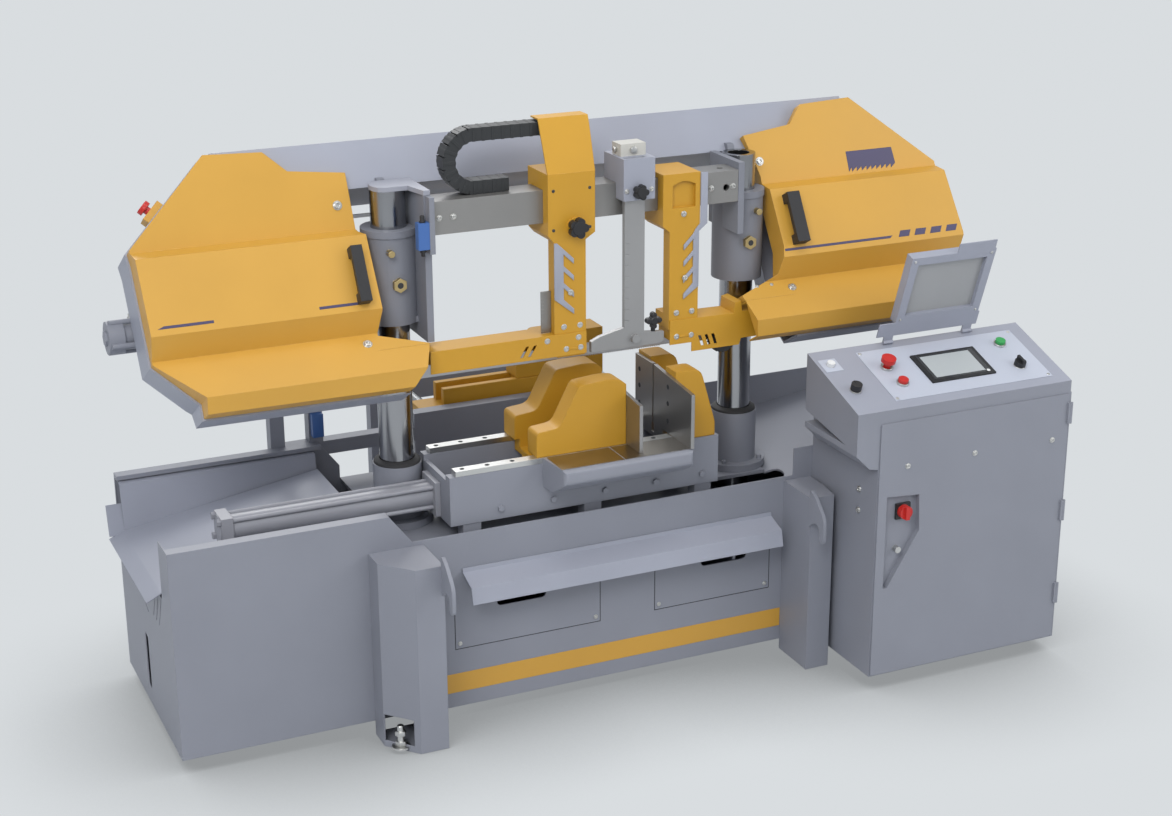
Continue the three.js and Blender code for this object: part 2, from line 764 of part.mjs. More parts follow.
add("wheel_housing_left", leftHousingOfWheel(), "paleGrey", leaning);
add("wheel_housing_right", rightHousingOfWheel(), "paleGrey", leaning);
const leftHandle = coverHandle([-636, -606], 166, 311);
const rightHandle = coverHandle([613, 651], 181, 323);
add("wheel_cover_left", wheelCover(-1, leftOutline, leftHandle), "yellow", leaning);
add("wheel_cover_right", wheelCover(1, rightOutline, rightHandle), "yellow", leaning);
add("idler_wheel", wheel(-wheelX), "castIron", leaning);
add("drive_wheel", wheel(wheelX), "castIron", leaning);
add("idler_carriage", idlerCarriage(), "castIron", leaning);
add("tension_cylinder", tensionCylinder(), "grey", leaning);
add("gear_motor", gearMotor(), "grey", leaning);
add("saw_blade", sawBlade(), "steel", leaning);
const bowStopPlace = new THREE.Group();
bowStopPlace.position.set(-1071.7, 0, 476.6);
bowStopPlace.rotation.y = -radians(45);
leaning.add(bowStopPlace);
add("bow_stop_box", bowStopBox(), "yellow", bowStopPlace);
add("bow_estop", bowStopHead(), "red", bowStopPlace);

// ================= guide arms, guards, feeler and cable chain =================

// A block that wraps the guide beam, narrowing below to the arm. top is its upper edge.
function saddle(x, arm, z, top, clearance) {
  const front = [
    [x[0], z[1]], [x[0], top], [x[1], top], [x[1], z[1]], [arm[1], z[0]], [arm[0], z[0]],
  ];
  const opening = box(
    [x[0] - 1, x[1] + 1],
    [guideFront - clearance, guideBack + clearance],
    [guideBottom - clearance, guideTop + clearance],
  );
  return prism("y", front, [armFront, armBack]).subtract(opening);
}

// An arm below its saddle, with the slot that the blade's back runs in.
function armBelow(x, top) {
  const web = box(x, [armFront, -14], [armFoot, top + 1]);
  const heel = box(x, [armFront, 30], [armFoot, armFoot + 40]);
  const pad = box([x[0] + 8, x[1] - 4], [armFront, 26], [padBottom, armFoot + 1]);
  const slot = box(
    [x[0] - 1, x[1] + 1],
    [-bladeThickness, bladeThickness],
    [padBottom - 1, bladeHeight + bladeWidth / 2 + 2],
  );
  return join(web, heel, pad).subtract(slot);
}

const armKnobAt = [-52, 1272];
const cowlFold = 1411;

function guideArmLeft() {
  const x = [-127, 5];
  const top = saddle(x, leftArm, [1235, 1252], cowlFold + 2, 0.5);
  const cowlLine = [[armFront, cowlFold], [10, 1547], [58, 1547]];
  const cowlFace = [[x[0], 1400], [x[1], 1400], [14, 1560], [x[0], 1560]];
  const cowl = prism("x", folded(cowlLine, -4), [-190, 12]).intersect(
    prism("y", cowlFace, [-100, 100]),
  );
  const side = [[armFront + 2, cowlFold], [14, 1546], [58, 1546], [58, cowlFold]];
  const cheek = prism("x", side, [1, 5]);
  const knobSeat = rod("y", 24, [armFront - 6, armFront + 1], armKnobAt, 24);
  const knobBore = rod("y", 8.5, [armFront - 7, guideFront - 6], armKnobAt, 16);
  return join(top, cowl, cheek, knobSeat, armBelow(leftArm, 1235)).subtract(knobBore);
}

// Five-lobed hand knob on a stem.
function lobeKnob(x, z, face, radius, stem) {
  const lobes = [0, 72, 144, 216, 288].map((turn) => {
    const out = radius * 0.6;
    const place = [x + out * Math.cos(radians(turn)), z + out * Math.sin(radians(turn))];
    return rod("y", radius * 0.42, [face - 24, face - 6], place, 16);
  });
  const disc = rod("y", radius * 0.66, [face - 26, face - gap], [x, z], 24);
  return join(disc, ...lobes, rod("y", 8, [face - 1, face + stem], [x, z], 16));
}

function guideArmRight() {
  const recess = [[229, 1289], [296, 1289], [296, 1350], [262, 1364, 20], [229, 1350]];
  const top = saddle([201, 310], rightArm, [1226, 1243], 1381, gap);
  const arm = join(top, armBelow(rightArm, 1226));
  return arm.subtract(prism("y", recess, [armFront - 1, armFront + 10]));
}

// A row of slanted slots through a guard's front, between two heights.
function guardSlots(starts, slant, [low, high]) {
  return join(...starts.map((x) => {
    const slot = [[x, low, 2], [x + 9, low, 2], [x + 9 + slant, high, 2], [x + slant, high, 2]];
    return prism("y", slot, [armFront - 10, armFront + 5]);
  }));
}

const guardFront = armFront - gap - sheet; // the guards' front sheets cover the arms' feet

function bladeGuardLeft() {
  const z = [928, 988];
  const near = leftArm[0] - gap;
  const plate = box([-457, leftArm[1]], [guardFront, guardFront + sheet], z);
  const hood = box([-457, near], [guardFront, 25], z);
  const inside = box([-458, near + 1], [guardFront + sheet, 25 - sheet], [z[0] - 1, z[1] - sheet]);
  return hood.subtract(inside).add(plate).subtract(guardSlots([-212, -190], 18, [938, 967]));
}

const brushAt = [396, 908];

function bladeGuardRight() {
  const near = rightArm[1] + gap;
  const side = [
    [rightArm[0] + 2, 916], [289, 916], [289, 890], [434, 890],
    [440, 908], [505, 908], [505, 984], [442, 984], [438, 1014],
    [419, 1010], [416, 981], [rightArm[0] + 2, 984],
  ];
  const inside = [
    [near - 1, 880], [near - 1, 978], [419, 978], [422, 1007], [435, 1010], [439, 981],
    [510, 981], [510, 880],
  ];
  const plate = prism("y", side, [guardFront, guardFront + sheet]);
  const hood = prism("y", side, [guardFront, 25]).intersect(box([near, 520], [-99, 99], [880, 1020]));
  const axle = rod("y", 6, [guardFront + 1, -8], brushAt, 16);
  const nut = rod("y", 11, [-11.5, -6], brushAt, 6);
  return hood
    .subtract(prism("y", inside, [guardFront + sheet, 25 - sheet]))
    .add(plate)
    .subtract(guardSlots([318, 338, 358], -10, [902, 932]))
    .add(axle)
    .add(nut);
}

// Round wire brush that cleans the teeth.
function chipBrush() {
  const disc = rod("y", 38, [-35, -12], brushAt, 36);
  const bristles = Array.from({ length: 24 }, (_, i) => {
    const turn = (i * Math.PI) / 12;
    const place = [brushAt[0] + 38 * Math.cos(turn), brushAt[1] + 38 * Math.sin(turn)];
    return rod("y", 3.5, [-33, -14], place, 6);
  });
  return join(disc, ...bristles).subtract(rod("y", 6.5, [-36, -10], brushAt, 16));
}

const feelerBar = { x: [88, 146], y: [-53, -39] };
const feelerKnobAt = [122, 1350];

// Block on the guide beam that the feeler hangs in, with its switch box on top.
function feelerBlock() {
  const x = [80, 170];
  const front = box(x, [-64, guideFront - gap], [1326, 1436]);
  const top = box(x, [-64, 56], [guideTop + gap, 1436]);
  const switchBox = box([88, 160], [-28, 24], [1435, 1468]);
  const slot = box(
    [feelerBar.x[0] - running, feelerBar.x[1] + running],
    [feelerBar.y[0] - running, feelerBar.y[1] + running],
    [1300, 1450],
  );
  const knobBore = rod("y", 8.5, [-65, -53], feelerKnobAt, 16);
  return join(front, top, switchBox).subtract(join(slot, knobBore));
}

// Flat bar that hangs from the block, with its foot over the work.
function feeler() {
  const bar = box(feelerBar.x, feelerBar.y, [930, 1432]);
  const foot = [
    [-8, 926], [198, 926], [205, 932], [205, 958], [150, 963], [88, 982], [17, 966], [-8, 955],
  ];
  const stud = rod("y", 12, [-66, -50], [118, 950], 20);
  const marks = Array.from({ length: 8 }, (_, i) =>
    box([feelerBar.x[0] - 1, 100], [-54, -52.2], [1000 + i * 30, 1001.5 + i * 30]),
  );
  return join(bar, prism("y", foot, feelerBar.y), stud).subtract(join(...marks));
}

// Cable chain: lower run on the guide beam, a bend, and the upper run into the arm's cowl.
function cableChain() {
  const floor = guideTop + gap;
  const radius = 67.5;
  const bend = -300;
  const link = 26;
  const pieces = [];
  const half = 17;
  const push = (x, z, turn) => {
    const geometry = new THREE.BoxGeometry(link + 4, 46, 2 * half);
    geometry.rotateY(turn).translate(x, 37, z);
    pieces.push(solid(geometry));
    const rib = new THREE.BoxGeometry(8, 48, 2 * half + 1.4);
    rib.rotateY(turn).translate(x, 37, z);
    pieces.push(solid(rib));
  };
  for (let x = bend + 78; x > bend; x -= link) push(x, floor + half + 0.8, 0);
  for (let i = 0; i <= 8; i++) {
    const turn = (Math.PI * i) / 8;
    const z = floor + half + 0.8 + radius * (1 - Math.cos(turn));
    push(bend - radius * Math.sin(turn), z, turn);
  }
  const top = floor + half + 0.8 + 2 * radius;
  for (let x = bend + link; x < -55; x += link) push(x, top, 0);
  return join(...pieces);
}

add("guide_arm_left", guideArmLeft(), "yellow");
add("arm_knob", lobeKnob(...armKnobAt, armFront - 6, 27, 28), "black");
add("blade_guard_left", bladeGuardLeft(), "yellow");
add("guide_arm_right", guideArmRight(), "yellow");
add("blade_guard_right", bladeGuardRight(), "yellow");
add("chip_brush", chipBrush(), "black");
add("feeler_block", feelerBlock(), "paleGrey");
add("feeler_bar", feeler(), "steel");
add("feeler_knob", lobeKnob(...feelerKnobAt, -64, 20, 8), "black");
add("cable_chain", cableChain(), "black");

// ================= vise =================

const bedLeft = -440;
const bedRight = 340;
const railFoot = 665;
const clampHeight = 582;
const jawWebTop = 656; // below the lowest reach of the blade
const jawFoot = bedTop + gap;

function viseBed() {
  const x = [bedLeft, bedRight];
  const ways = [wayFront, wayRear].map((y) => box(x, y, [530, railFoot]));
  const floor = box(x, [wayFront[0], wayRear[1]], [530, 545]);
  const end = box([bedLeft, bedLeft + 12], [wayFront[0], wayRear[1]], [530, jawWebTop - 6]);
  const hole = rod("x", 17, [bedLeft - 1, bedLeft + 13], [0, clampHeight], 24);
  const legs = [-405, -60, 270].flatMap((left) =>
    [-118, 60].map((y) => box([left, left + 50], [y, y + 40], [deckTop + gap, 531])),
  );
  const bolts = [-300, -150, 0, 150, 290].map((at) =>
    rod("y", 9, [wayFront[0] - 7, wayFront[0] + 1], [at, 560], 6),
  );
  return join(...ways, floor, end, ...legs, ...bolts).subtract(hole);
}

function viseRail(way) {
  return box([-423, fixedFace - gap], way, [railFoot + gap, bedTop]);
}

function workTray() {
  const back = wayFront[0] - gap;
  const outer = [
    [back, 600], [back, 680], [-222, 680, 8], [-236, 673, 6], [-236, 640, 10], [-172, 600, 10],
  ];
  const inner = [
    [back - 8, 590], [back - 8, 672], [-218, 672], [-228, 667], [-228, 644], [-174, 609],
    [-170, 590],
  ];
  const plan = [[-180, -120], [207, -120], [207, -236, 12], [-168, -236, 12]];
  const body = prism("x", outer, [-180, 207]).intersect(prism("z", plan, [590, 700]));
  const slots = [-120, -40, 40, 120].map((x) => box([x, x + 34], [-205, -199], [660, 690]));
  return body.subtract(prism("x", inner, [-160, 199])).subtract(join(...slots));
}

// Body of a jaw: two halves with a pass for the guide arms, tied below the blade's reach.
function jawBody(x, profile, foot) {
  const halves = [[jawFront, armPass[0]], [armPass[1], jawRear]].map((y) => prism("y", profile, y));
  const inner = [wayFront[1] + gap, wayRear[0] - gap];
  const keys = [[inner[0], armPass[0]], [armPass[1], inner[1]]].map((y) => box(x, y, [640, foot + 2]));
  return join(...halves, ...keys, box(x, inner, [640, jawWebTop]));
}

function movingJaw() {
  const right = movingFace - 10 - gap;
  const profile = [
    [right - 258, jawFoot],
    [right, jawFoot],
    [right, 848],
    [right - 18, 863, 8],
    [right - 52, 868, 20],
    [right - 136, 861, 12],
    [right - 192, 754, 18],
    [right - 258, 748, 12],
  ];
  const lug = box([-180, -110], [-22, 22], [clampHeight - 20, 641]);
  return jawBody([-180, right], profile, jawFoot).add(lug);
}

function fixedJaw() {
  const left = fixedFace + 10 + gap;
  const foot = railFoot + gap;
  const profile = [
    [left, foot],
    [bedRight - 10, foot],
    [bedRight - 10, 704, 6],
    [left + 74, jawTop, 24],
    [left, jawTop],
  ];
  return jawBody([left, bedRight - 10], profile, foot);
}

// Steel face of a jaw, slotted for the blade, its two halves tied below the blade's reach.
function jawPlate(left, front, high) {
  const x = [left, left + 10];
  const low = jawFoot + 0.7;
  const top = [[front, low], [front, high - 20], [-bladeSlot, high], [-bladeSlot, low]];
  const rear = box(x, [bladeSlot, jawRear], [low, high]);
  const ties = [[-60, -bladeSlot - 4], [bladeSlot + 4, 60]].map((y) => box(x, y, [645, high - 60]));
  return join(prism("x", top, x), rear, ...ties, box(x, [-60, 60], [645, jawWebTop]));
}

const clampStart = -1020;
const clampBore = 30;

function clampCylinder() {
  const end = bedLeft - gap;
  const at = [0, clampHeight];
  const barrel = rod("x", 32.5, [clampStart, end], at, 36);
  const cap = rod("x", 37, [clampStart, clampStart + 34], at, 36);
  const flange = box([end - 14, end], [-50, 50], [clampHeight - 47, clampHeight + 47]);
  const corners = [-27, 27].flatMap((y) => [-27, 27].map((z) => [y, clampHeight + z]));
  const rods = corners.map((place) => rod("x", 6, [clampStart - 8, end - 1], place, 12));
  const nuts = corners.map((place) => rod("x", 10, [clampStart - 8, clampStart + 2], place, 6));
  const bore = rod("x", clampBore, [clampStart + 20, end - 13], at);
  const mouth = rod("x", 15, [end - 20, end + 1], at, 24);
  const collar = box([clampStart + 2, clampStart + 32], [-38, 38], [clampHeight - 38, clampHeight + 38]);
  return join(barrel, cap, collar, flange, ...rods, ...nuts).subtract(join(bore, mouth));
}

function clampRod() {
  const at = [0, clampHeight];
  return rod("x", 14, [-701, -180 - gap], at, 24).add(rod("x", clampBore - 1.5, [-720, -700], at));
}

add("vise_bed", viseBed(), "grey");
add("vise_rail_front", viseRail(wayFront), "steel");
add("vise_rail_rear", viseRail(wayRear), "steel");
add("work_tray", workTray(), "grey");
add("moving_jaw", movingJaw(), "yellow");
add("moving_jaw_plate", jawPlate(movingFace - 10, -198, 831), "steel");
add("fixed_jaw", fixedJaw(), "yellow");
add("fixed_jaw_plate", jawPlate(fixedFace, -228, 851), "steel");
add("clamp_cylinder", clampCylinder(), "steel");
add("clamp_rod", clampRod(), "chrome");

// ================= control cabinet and console =================

const consoleRight = cabinetRight - 3;
const doorSkin = 3.2;
const doorTop = 770; // the leaf laps over the desk's front
const stemRadius = 10;

// Controls on the console: across, and up the slope.
const controls = {
  estop: [734, 170],
  stop: [741, 97],
  start: [1114, 195],
  selector: [1114, 94],
  speed: [597, 99],
};

// A piece made in the console's own frame, as a solid in the upright one.
function onConsole(geometry) {
  geometry.rotateX(radians(consoleSlope)).translate(0, cabinetFront, consoleFrontTop);
  return solid(geometry);
}

const recess = [[632, 567, 8], [751, 558, 8], [757, 451, 14], [662, 296, 8], [632, 296, 8]];

function cabinet() {
  const back = baseFront - gap;
  const body = box([cabinetLeft, cabinetRight], [cabinetFront, back], [cabinetBottom, 773]);
  const rise = consoleDepth * Math.sin(radians(consoleSlope));
  const reach = consoleDepth * Math.cos(radians(consoleSlope));
  const side = [
    [cabinetFront, consoleFrontTop],
    [cabinetFront, 696],
    [cabinetFront + reach, 740],
    [cabinetFront + reach, consoleFrontTop + rise],
  ];
  const desk = prism("x", side, [consoleLeft, consoleRight]);
  const near = cabinetLeft + 7;
  const chin = [[consoleLeft, 705], [consoleLeft, 690], [591, 650], [near, 642], [near, 705]];
  const corner = prism("y", chin, [cabinetFront, cabinetFront + reach]);
  const room = box(
    [cabinetLeft + sheet, cabinetRight - sheet],
    [cabinetFront + sheet, back - sheet],
    [cabinetBottom + sheet, 735],
  );
  const deskRoom = prism("x", shrink(side, 4), [consoleLeft + 4, consoleRight - 4]);
  const doorway = box([640, 1205], [cabinetFront - 1, cabinetFront + 5], [75, 690]);
  const bezel = new THREE.BoxGeometry(202, 122, 8).translate(926, 139, 1);
  const lamp = new THREE.CylinderGeometry(11, 11, 12, 20).rotateX(Math.PI / 2).translate(586, 215, 5);
  const stems = Object.values(controls).map(([x, up]) => {
    const hole = new THREE.CylinderGeometry(stemRadius + 1, stemRadius + 1, 30, 20);
    return onConsole(hole.rotateX(Math.PI / 2).translate(x, up, 0));
  });
  return join(body, desk, corner)
    .subtract(join(room, deskRoom, doorway, ...stems))
    .add(onConsole(bezel))
    .add(onConsole(lamp));
}

function cabinetDoor() {
  const face = cabinetFront - gap;
  const front = [[621, 45, 6], [1220, 45, 6], [1220, doorTop, 6], [621, doorTop, 6]];
  const skin = prism("y", front, [face - doorSkin, face]);
  const tray = prism("y", recess, [face - doorSkin, face + 16]);
  const hollow = prism("y", shrink(recess, 3), [face - doorSkin - 1, face + 13]);
  const trayRoom = box([645, 1200], [face - 1, face + 20], [80, 685]);
  const lock = rod("y", 9, [face - 4, face + 14], [690, 405], 16);
  const bolt = rod("y", 7, [face + 5, face + 14], [706, 512], 16);
  const hinges = [150, 400, 685];
  const leaf = hinges.map((z) => rod("z", 5, [z, z + 60], [1224, face - 6], 12));
  const arms = hinges.map((z) => box([1214, 1224], [face - 9, face - 3], [z, z + 60]));
  return join(skin, tray.intersect(trayRoom.add(skin)), ...leaf, ...arms)
    .subtract(hollow.intersect(box([648, 800], [-600, 0], [0, 800])))
    .add(lock)
    .subtract(bolt);
}

function mainSwitch() {
  const face = cabinetFront - gap + 13 - gap;
  const plate = box([684, 728], [face - 8, face], [490, 534]);
  const grip = rod("y", 19, [face - 24, face - 7], [706, 512], 24);
  return join(plate, grip, box([700, 712], [face - 32, face - 20], [494, 530]));
}

// A push button: head above the panel and a stem through it.
function pushButton(headRadius, headRise) {
  const head = rod("z", headRadius, [8, headRise], [0, 0], 28);
  const collar = rod("z", stemRadius, [-14, 9], [0, 0], 20);
  return join(head, collar);
}

function mushroom() {
  return join(rod("z", 20, [22, 34], [0, 0], 28), rod("z", stemRadius, [-14, 23], [0, 0], 20));
}

function selector() {
  const base = join(rod("z", 16, [3, 16], [0, 0], 28), rod("z", stemRadius, [-14, 4], [0, 0], 20));
  return base.add(box([-4, 4], [-15, 15], [15, 26]));
}

function speedKnob() {
  const base = join(rod("z", 15, [4, 22], [0, 0], 20), rod("z", stemRadius, [-14, 5], [0, 0], 20));
  return base.add(box([-1, 1], [2, 14], [21, 23]));
}

// The screen's lid, standing open at a right angle to the console.
const lidHinge = [270, 6];

function consoleLid() {
  const near = lidHinge[0] + 2;
  const leaf = box([756, 1078], [near, near + 3], [24, 66]);
  const ears = [[780, 810], [1035, 1065]];
  const knuckles = ears.map((x) => rod("x", 5.4, x, lidHinge, 16));
  const straps = ears.map((x) => box(x, [near, near + 3], [lidHinge[1], 25]));
  const frame = box([806, 1073], [near, near + 28], [62, 272]);
  const window = box([830, 1049], [near - 1, near + 29], [86, 248]);
  const pane = box([824, 1055], [near + 12, near + 15], [80, 254]);
  const tab = box([948, 1068], [near, near + 3], [270, 300]);
  return join(frame.subtract(window), leaf, ...knuckles, ...straps, pane, tab);
}

function addControl(name, made, finish, [x, up]) {
  const mesh = add(name, made, finish, consoleTop);
  mesh.position.set(x, up, 0);
}

add("cabinet", cabinet(), "grey");
add("cabinet_door", cabinetDoor(), "grey");
add("main_switch", mainSwitch(), "red");
add("console_lid", consoleLid(), "grey", consoleTop);
addControl("estop_button", mushroom(), "red", controls.estop);
addControl("stop_button", pushButton(14, 16), "red", controls.stop);
addControl("start_button", pushButton(14, 16), "green", controls.start);
addControl("mode_selector", selector(), "black", controls.selector);
addControl("speed_knob", speedKnob(), "black", controls.speed);

// ================= bar feed behind the machine =================

const feedNear = baseRear + gap;
const feedFar = 900;
const feedRodX = 250;
const feedRodZ = 600;

function feedFrame() {
  const posts = [-330, 290].flatMap((x) =>
    [feedNear, feedFar - 40].map((y) => box([x, x + 40], [y, y + 40], [0, 560])),
  );
  const heads = [feedNear, feedFar - 40].map((y) => box([-330, 330], [y, y + 40], [540, 640]));
  const stays = [-330, 290].map((x) => box([x, x + 40], [feedNear, feedFar], [120, 160]));
  const rods = [-feedRodX, feedRodX].map((x) =>
    rod("y", 18, [feedNear + 5, feedFar - 5], [x, feedRodZ], 24),
  );
  const tower = box([-750, -710], [feedNear, feedNear + 40], [0, 800]);
  const tie = box([-750, -329], [feedNear, feedNear + 40], [560, 600]);
  const mast = box([-640, -600], [feedNear, feedNear + 40], [590, 800]);
  const crown = box([-750, -600], [feedNear, feedNear + 40], [770, 800]);
  return join(...posts, ...heads, ...stays, ...rods, tower, tie, mast, crown);
}

const carriageY = [510, 600];
const rearJawTop = 805;

function feedCarriage() {
  const plate = box([-290, 290], carriageY, [572, 628]);
  const bores = [-feedRodX, feedRodX].map((x) => rod("y", 18 + running, [500, 610], [x, feedRodZ], 24));
  const ways = [[512, 532], [578, 598]].map((y) => box([-219, 253], y, [627, 680]));
  const fixed = box([217, 285], carriageY, [627, rearJawTop]);
  return join(plate, ...ways, fixed).subtract(join(...bores));
}

function rearJaw() {
  const high = [
    [10, 680 + gap], [133, 680 + gap], [133, rearJawTop], [85, rearJawTop, 8], [10, 730, 10],
  ];
  const shoe = box([15, 128], [532 + running, 578 - running], [640, 682]);
  return join(prism("y", high, [515, 595]), shoe);
}

add("feed_frame", feedFrame(), "grey");
add("feed_carriage", feedCarriage(), "yellow");
add("rear_jaw_left", rearJaw(), "yellow");

// ================= origin: middle of the footprint, on the floor =================

const part = new THREE.Group();
part.add(machine);
part.updateMatrixWorld(true);
const bounds = new THREE.Box3().setFromObject(machine, true);
const middle = bounds.getCenter(new THREE.Vector3());
machine.position.set(-middle.x, -middle.y, -bounds.min.z);

export default part;
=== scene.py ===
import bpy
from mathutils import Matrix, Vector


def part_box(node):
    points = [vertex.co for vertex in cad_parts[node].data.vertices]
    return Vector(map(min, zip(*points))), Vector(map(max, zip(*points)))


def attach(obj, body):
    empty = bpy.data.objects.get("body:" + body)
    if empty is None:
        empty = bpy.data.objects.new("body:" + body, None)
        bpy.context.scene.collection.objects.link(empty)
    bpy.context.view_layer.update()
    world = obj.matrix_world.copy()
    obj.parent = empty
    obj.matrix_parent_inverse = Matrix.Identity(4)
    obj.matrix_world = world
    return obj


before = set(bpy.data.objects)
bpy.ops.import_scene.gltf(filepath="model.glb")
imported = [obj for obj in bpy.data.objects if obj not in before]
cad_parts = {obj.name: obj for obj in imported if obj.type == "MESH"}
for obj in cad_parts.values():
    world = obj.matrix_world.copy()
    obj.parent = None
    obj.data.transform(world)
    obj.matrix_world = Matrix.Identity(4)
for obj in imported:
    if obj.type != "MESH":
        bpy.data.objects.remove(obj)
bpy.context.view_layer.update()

from math import cos, pi, radians, sin

import bmesh
import bpy
from mathutils import Matrix, Vector

# ---------------------------------------------------------------------------
# Left chip housing: a tank of 3 mm sheet steel, folded, seam welded and
# sprayed grey over primer. Its left end is pierced with slanted air slots.
# ---------------------------------------------------------------------------
MM = 0.001
COLUMN_BEHIND_BLADE = 101
left_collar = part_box("column_base_left")
right_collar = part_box("column_base_right")
START = Vector((
    (left_collar[0][0] + right_collar[1][0]) / 2,
    (left_collar[0][1] + left_collar[1][1]) / 2 - COLUMN_BEHIND_BLADE * MM,
    0,
))
UPRIGHT = Matrix.Translation(START) @ Matrix.Scale(MM, 4)


def effect_group(name, inputs, outputs):
    """An empty shader node group with its entry and exit nodes."""
    group = bpy.data.node_groups.new(name, "ShaderNodeTree")
    for label, kind, value in inputs:
        group.interface.new_socket(label, in_out="INPUT", socket_type=kind).default_value = value
    for label, kind in outputs:
        group.interface.new_socket(label, in_out="OUTPUT", socket_type=kind)
    return group, group.nodes.new("NodeGroupInput"), group.nodes.new("NodeGroupOutput")


def rubbed_edges():
    """White where an outside edge has been rubbed, and the normal of a softened edge."""
    group, entry, leave = effect_group(
        "rubbed_edges",
        [("Width", "NodeSocketFloat", 0.002), ("Breakup", "NodeSocketFloat", 60.0)],
        [("Mask", "NodeSocketFloat"), ("Normal", "NodeSocketVector")],
    )
    nodes, link = group.nodes, group.links.new
    rounded = nodes.new("ShaderNodeBevel")
    rounded.samples = 4
    link(entry.outputs["Width"], rounded.inputs["Radius"])
    flat = nodes.new("ShaderNodeNewGeometry")
    turn = nodes.new("ShaderNodeVectorMath")
    turn.operation = "DOT_PRODUCT"
    link(rounded.outputs[0], turn.inputs[0])
    link(flat.outputs["Normal"], turn.inputs[1])
    spread = nodes.new("ShaderNodeMapRange")
    spread.inputs["From Min"].default_value = 0.985
    spread.inputs["From Max"].default_value = 0.80
    link(turn.outputs["Value"], spread.inputs["Value"])
    where = nodes.new("ShaderNodeTexCoord")
    noise = nodes.new("ShaderNodeTexNoise")
    noise.inputs["Detail"].default_value = 6
    link(where.outputs["Object"], noise.inputs["Vector"])
    link(entry.outputs["Breakup"], noise.inputs["Scale"])
    patchy = nodes.new("ShaderNodeMapRange")
    patchy.inputs["From Min"].default_value = 0.48
    patchy.inputs["From Max"].default_value = 0.62
    link(noise.outputs["Fac"], patchy.inputs["Value"])
    both = nodes.new("ShaderNodeMath")
    both.operation = "MULTIPLY"
    link(spread.outputs[0], both.inputs[0])
    link(patchy.outputs[0], both.inputs[1])
    link(both.outputs[0], leave.inputs["Mask"])
    link(rounded.outputs[0], leave.inputs["Normal"])
    return group


def surface_grain():
    """Fine height for spray peel, casting skin or grinding lines, and a broad uneven tone."""
    group, entry, leave = effect_group(
        "surface_grain",
        [
            ("Fine", "NodeSocketFloat", 900.0),
            ("Broad", "NodeSocketFloat", 3.0),
            ("Stretch", "NodeSocketVector", (1, 1, 1)),
        ],
        [("Height", "NodeSocketFloat"), ("Tone", "NodeSocketFloat")],
    )
    nodes, link = group.nodes, group.links.new
    where = nodes.new("ShaderNodeTexCoord")
    stretch = nodes.new("ShaderNodeVectorMath")
    stretch.operation = "MULTIPLY"
    link(where.outputs["Object"], stretch.inputs[0])
    link(entry.outputs["Stretch"], stretch.inputs[1])
    fine = nodes.new("ShaderNodeTexNoise")
    fine.inputs["Detail"].default_value = 2
    link(stretch.outputs[0], fine.inputs["Vector"])
    link(entry.outputs["Fine"], fine.inputs["Scale"])
    broad = nodes.new("ShaderNodeTexNoise")
    broad.inputs["Detail"].default_value = 5
    link(where.outputs["Object"], broad.inputs["Vector"])
    link(entry.outputs["Broad"], broad.inputs["Scale"])
    link(fine.outputs["Fac"], leave.inputs["Height"])
    link(broad.outputs["Fac"], leave.inputs["Tone"])
    return group


RUBBED_EDGES = rubbed_edges()
SURFACE_GRAIN = surface_grain()


def finish(name, colour, rough, metal=0.0, rubbed=None, edge=1.6, wear=0.3, fine=900.0,
           bump=0.04, uneven=0.05, stretch=(1, 1, 1), coat=0.0):
    """An opaque finish: an uneven colour, rubbed edges and a fine surface."""
    made = bpy.data.materials.new(name)
    made.use_nodes = True
    nodes, link = made.node_tree.nodes, made.node_tree.links.new
    shader = nodes["Principled BSDF"]
    shader.inputs["Metallic"].default_value = metal
    shader.inputs["Coat Weight"].default_value = coat
    shader.inputs["Coat Roughness"].default_value = 0.15
    edges = nodes.new("ShaderNodeGroup")
    edges.node_tree = RUBBED_EDGES
    edges.inputs["Width"].default_value = edge * MM
    grain = nodes.new("ShaderNodeGroup")
    grain.node_tree = SURFACE_GRAIN
    grain.inputs["Fine"].default_value = fine
    grain.inputs["Stretch"].default_value = stretch
    tone = nodes.new("ShaderNodeMapRange")
    tone.inputs["From Min"].default_value = 0.3
    tone.inputs["From Max"].default_value = 0.7
    link(grain.outputs["Tone"], tone.inputs["Value"])
    tint = nodes.new("ShaderNodeMix")
    tint.data_type = "RGBA"
    tint.inputs[6].default_value = (*[c * (1 - uneven) for c in colour], 1)
    tint.inputs[7].default_value = (*[min(1, c * (1 + uneven)) for c in colour], 1)
    link(tone.outputs[0], tint.inputs[0])
    strength = nodes.new("ShaderNodeMath")
    strength.operation = "MULTIPLY"
    strength.inputs[1].default_value = wear
    link(edges.outputs["Mask"], strength.inputs[0])
    worn = nodes.new("ShaderNodeMix")
    worn.data_type = "RGBA"
    worn.inputs[7].default_value = (*(rubbed or [min(1, c * 1.5 + 0.04) for c in colour]), 1)
    link(strength.outputs[0], worn.inputs[0])
    link(tint.outputs[2], worn.inputs[6])
    link(worn.outputs[2], shader.inputs["Base Color"])
    gloss = nodes.new("ShaderNodeMapRange")
    gloss.inputs["To Min"].default_value = rough * 0.85
    gloss.inputs["To Max"].default_value = min(1, rough * 1.2)
    link(grain.outputs["Tone"], gloss.inputs["Value"])
    link(gloss.outputs[0], shader.inputs["Roughness"])
    relief = nodes.new("ShaderNodeBump")
    relief.inputs["Strength"].default_value = bump
    relief.inputs["Distance"].default_value = 0.0006
    link(grain.outputs["Height"], relief.inputs["Height"])
    link(edges.outputs["Normal"], relief.inputs["Normal"])
    link(relief.outputs[0], shader.inputs["Normal"])
    return made


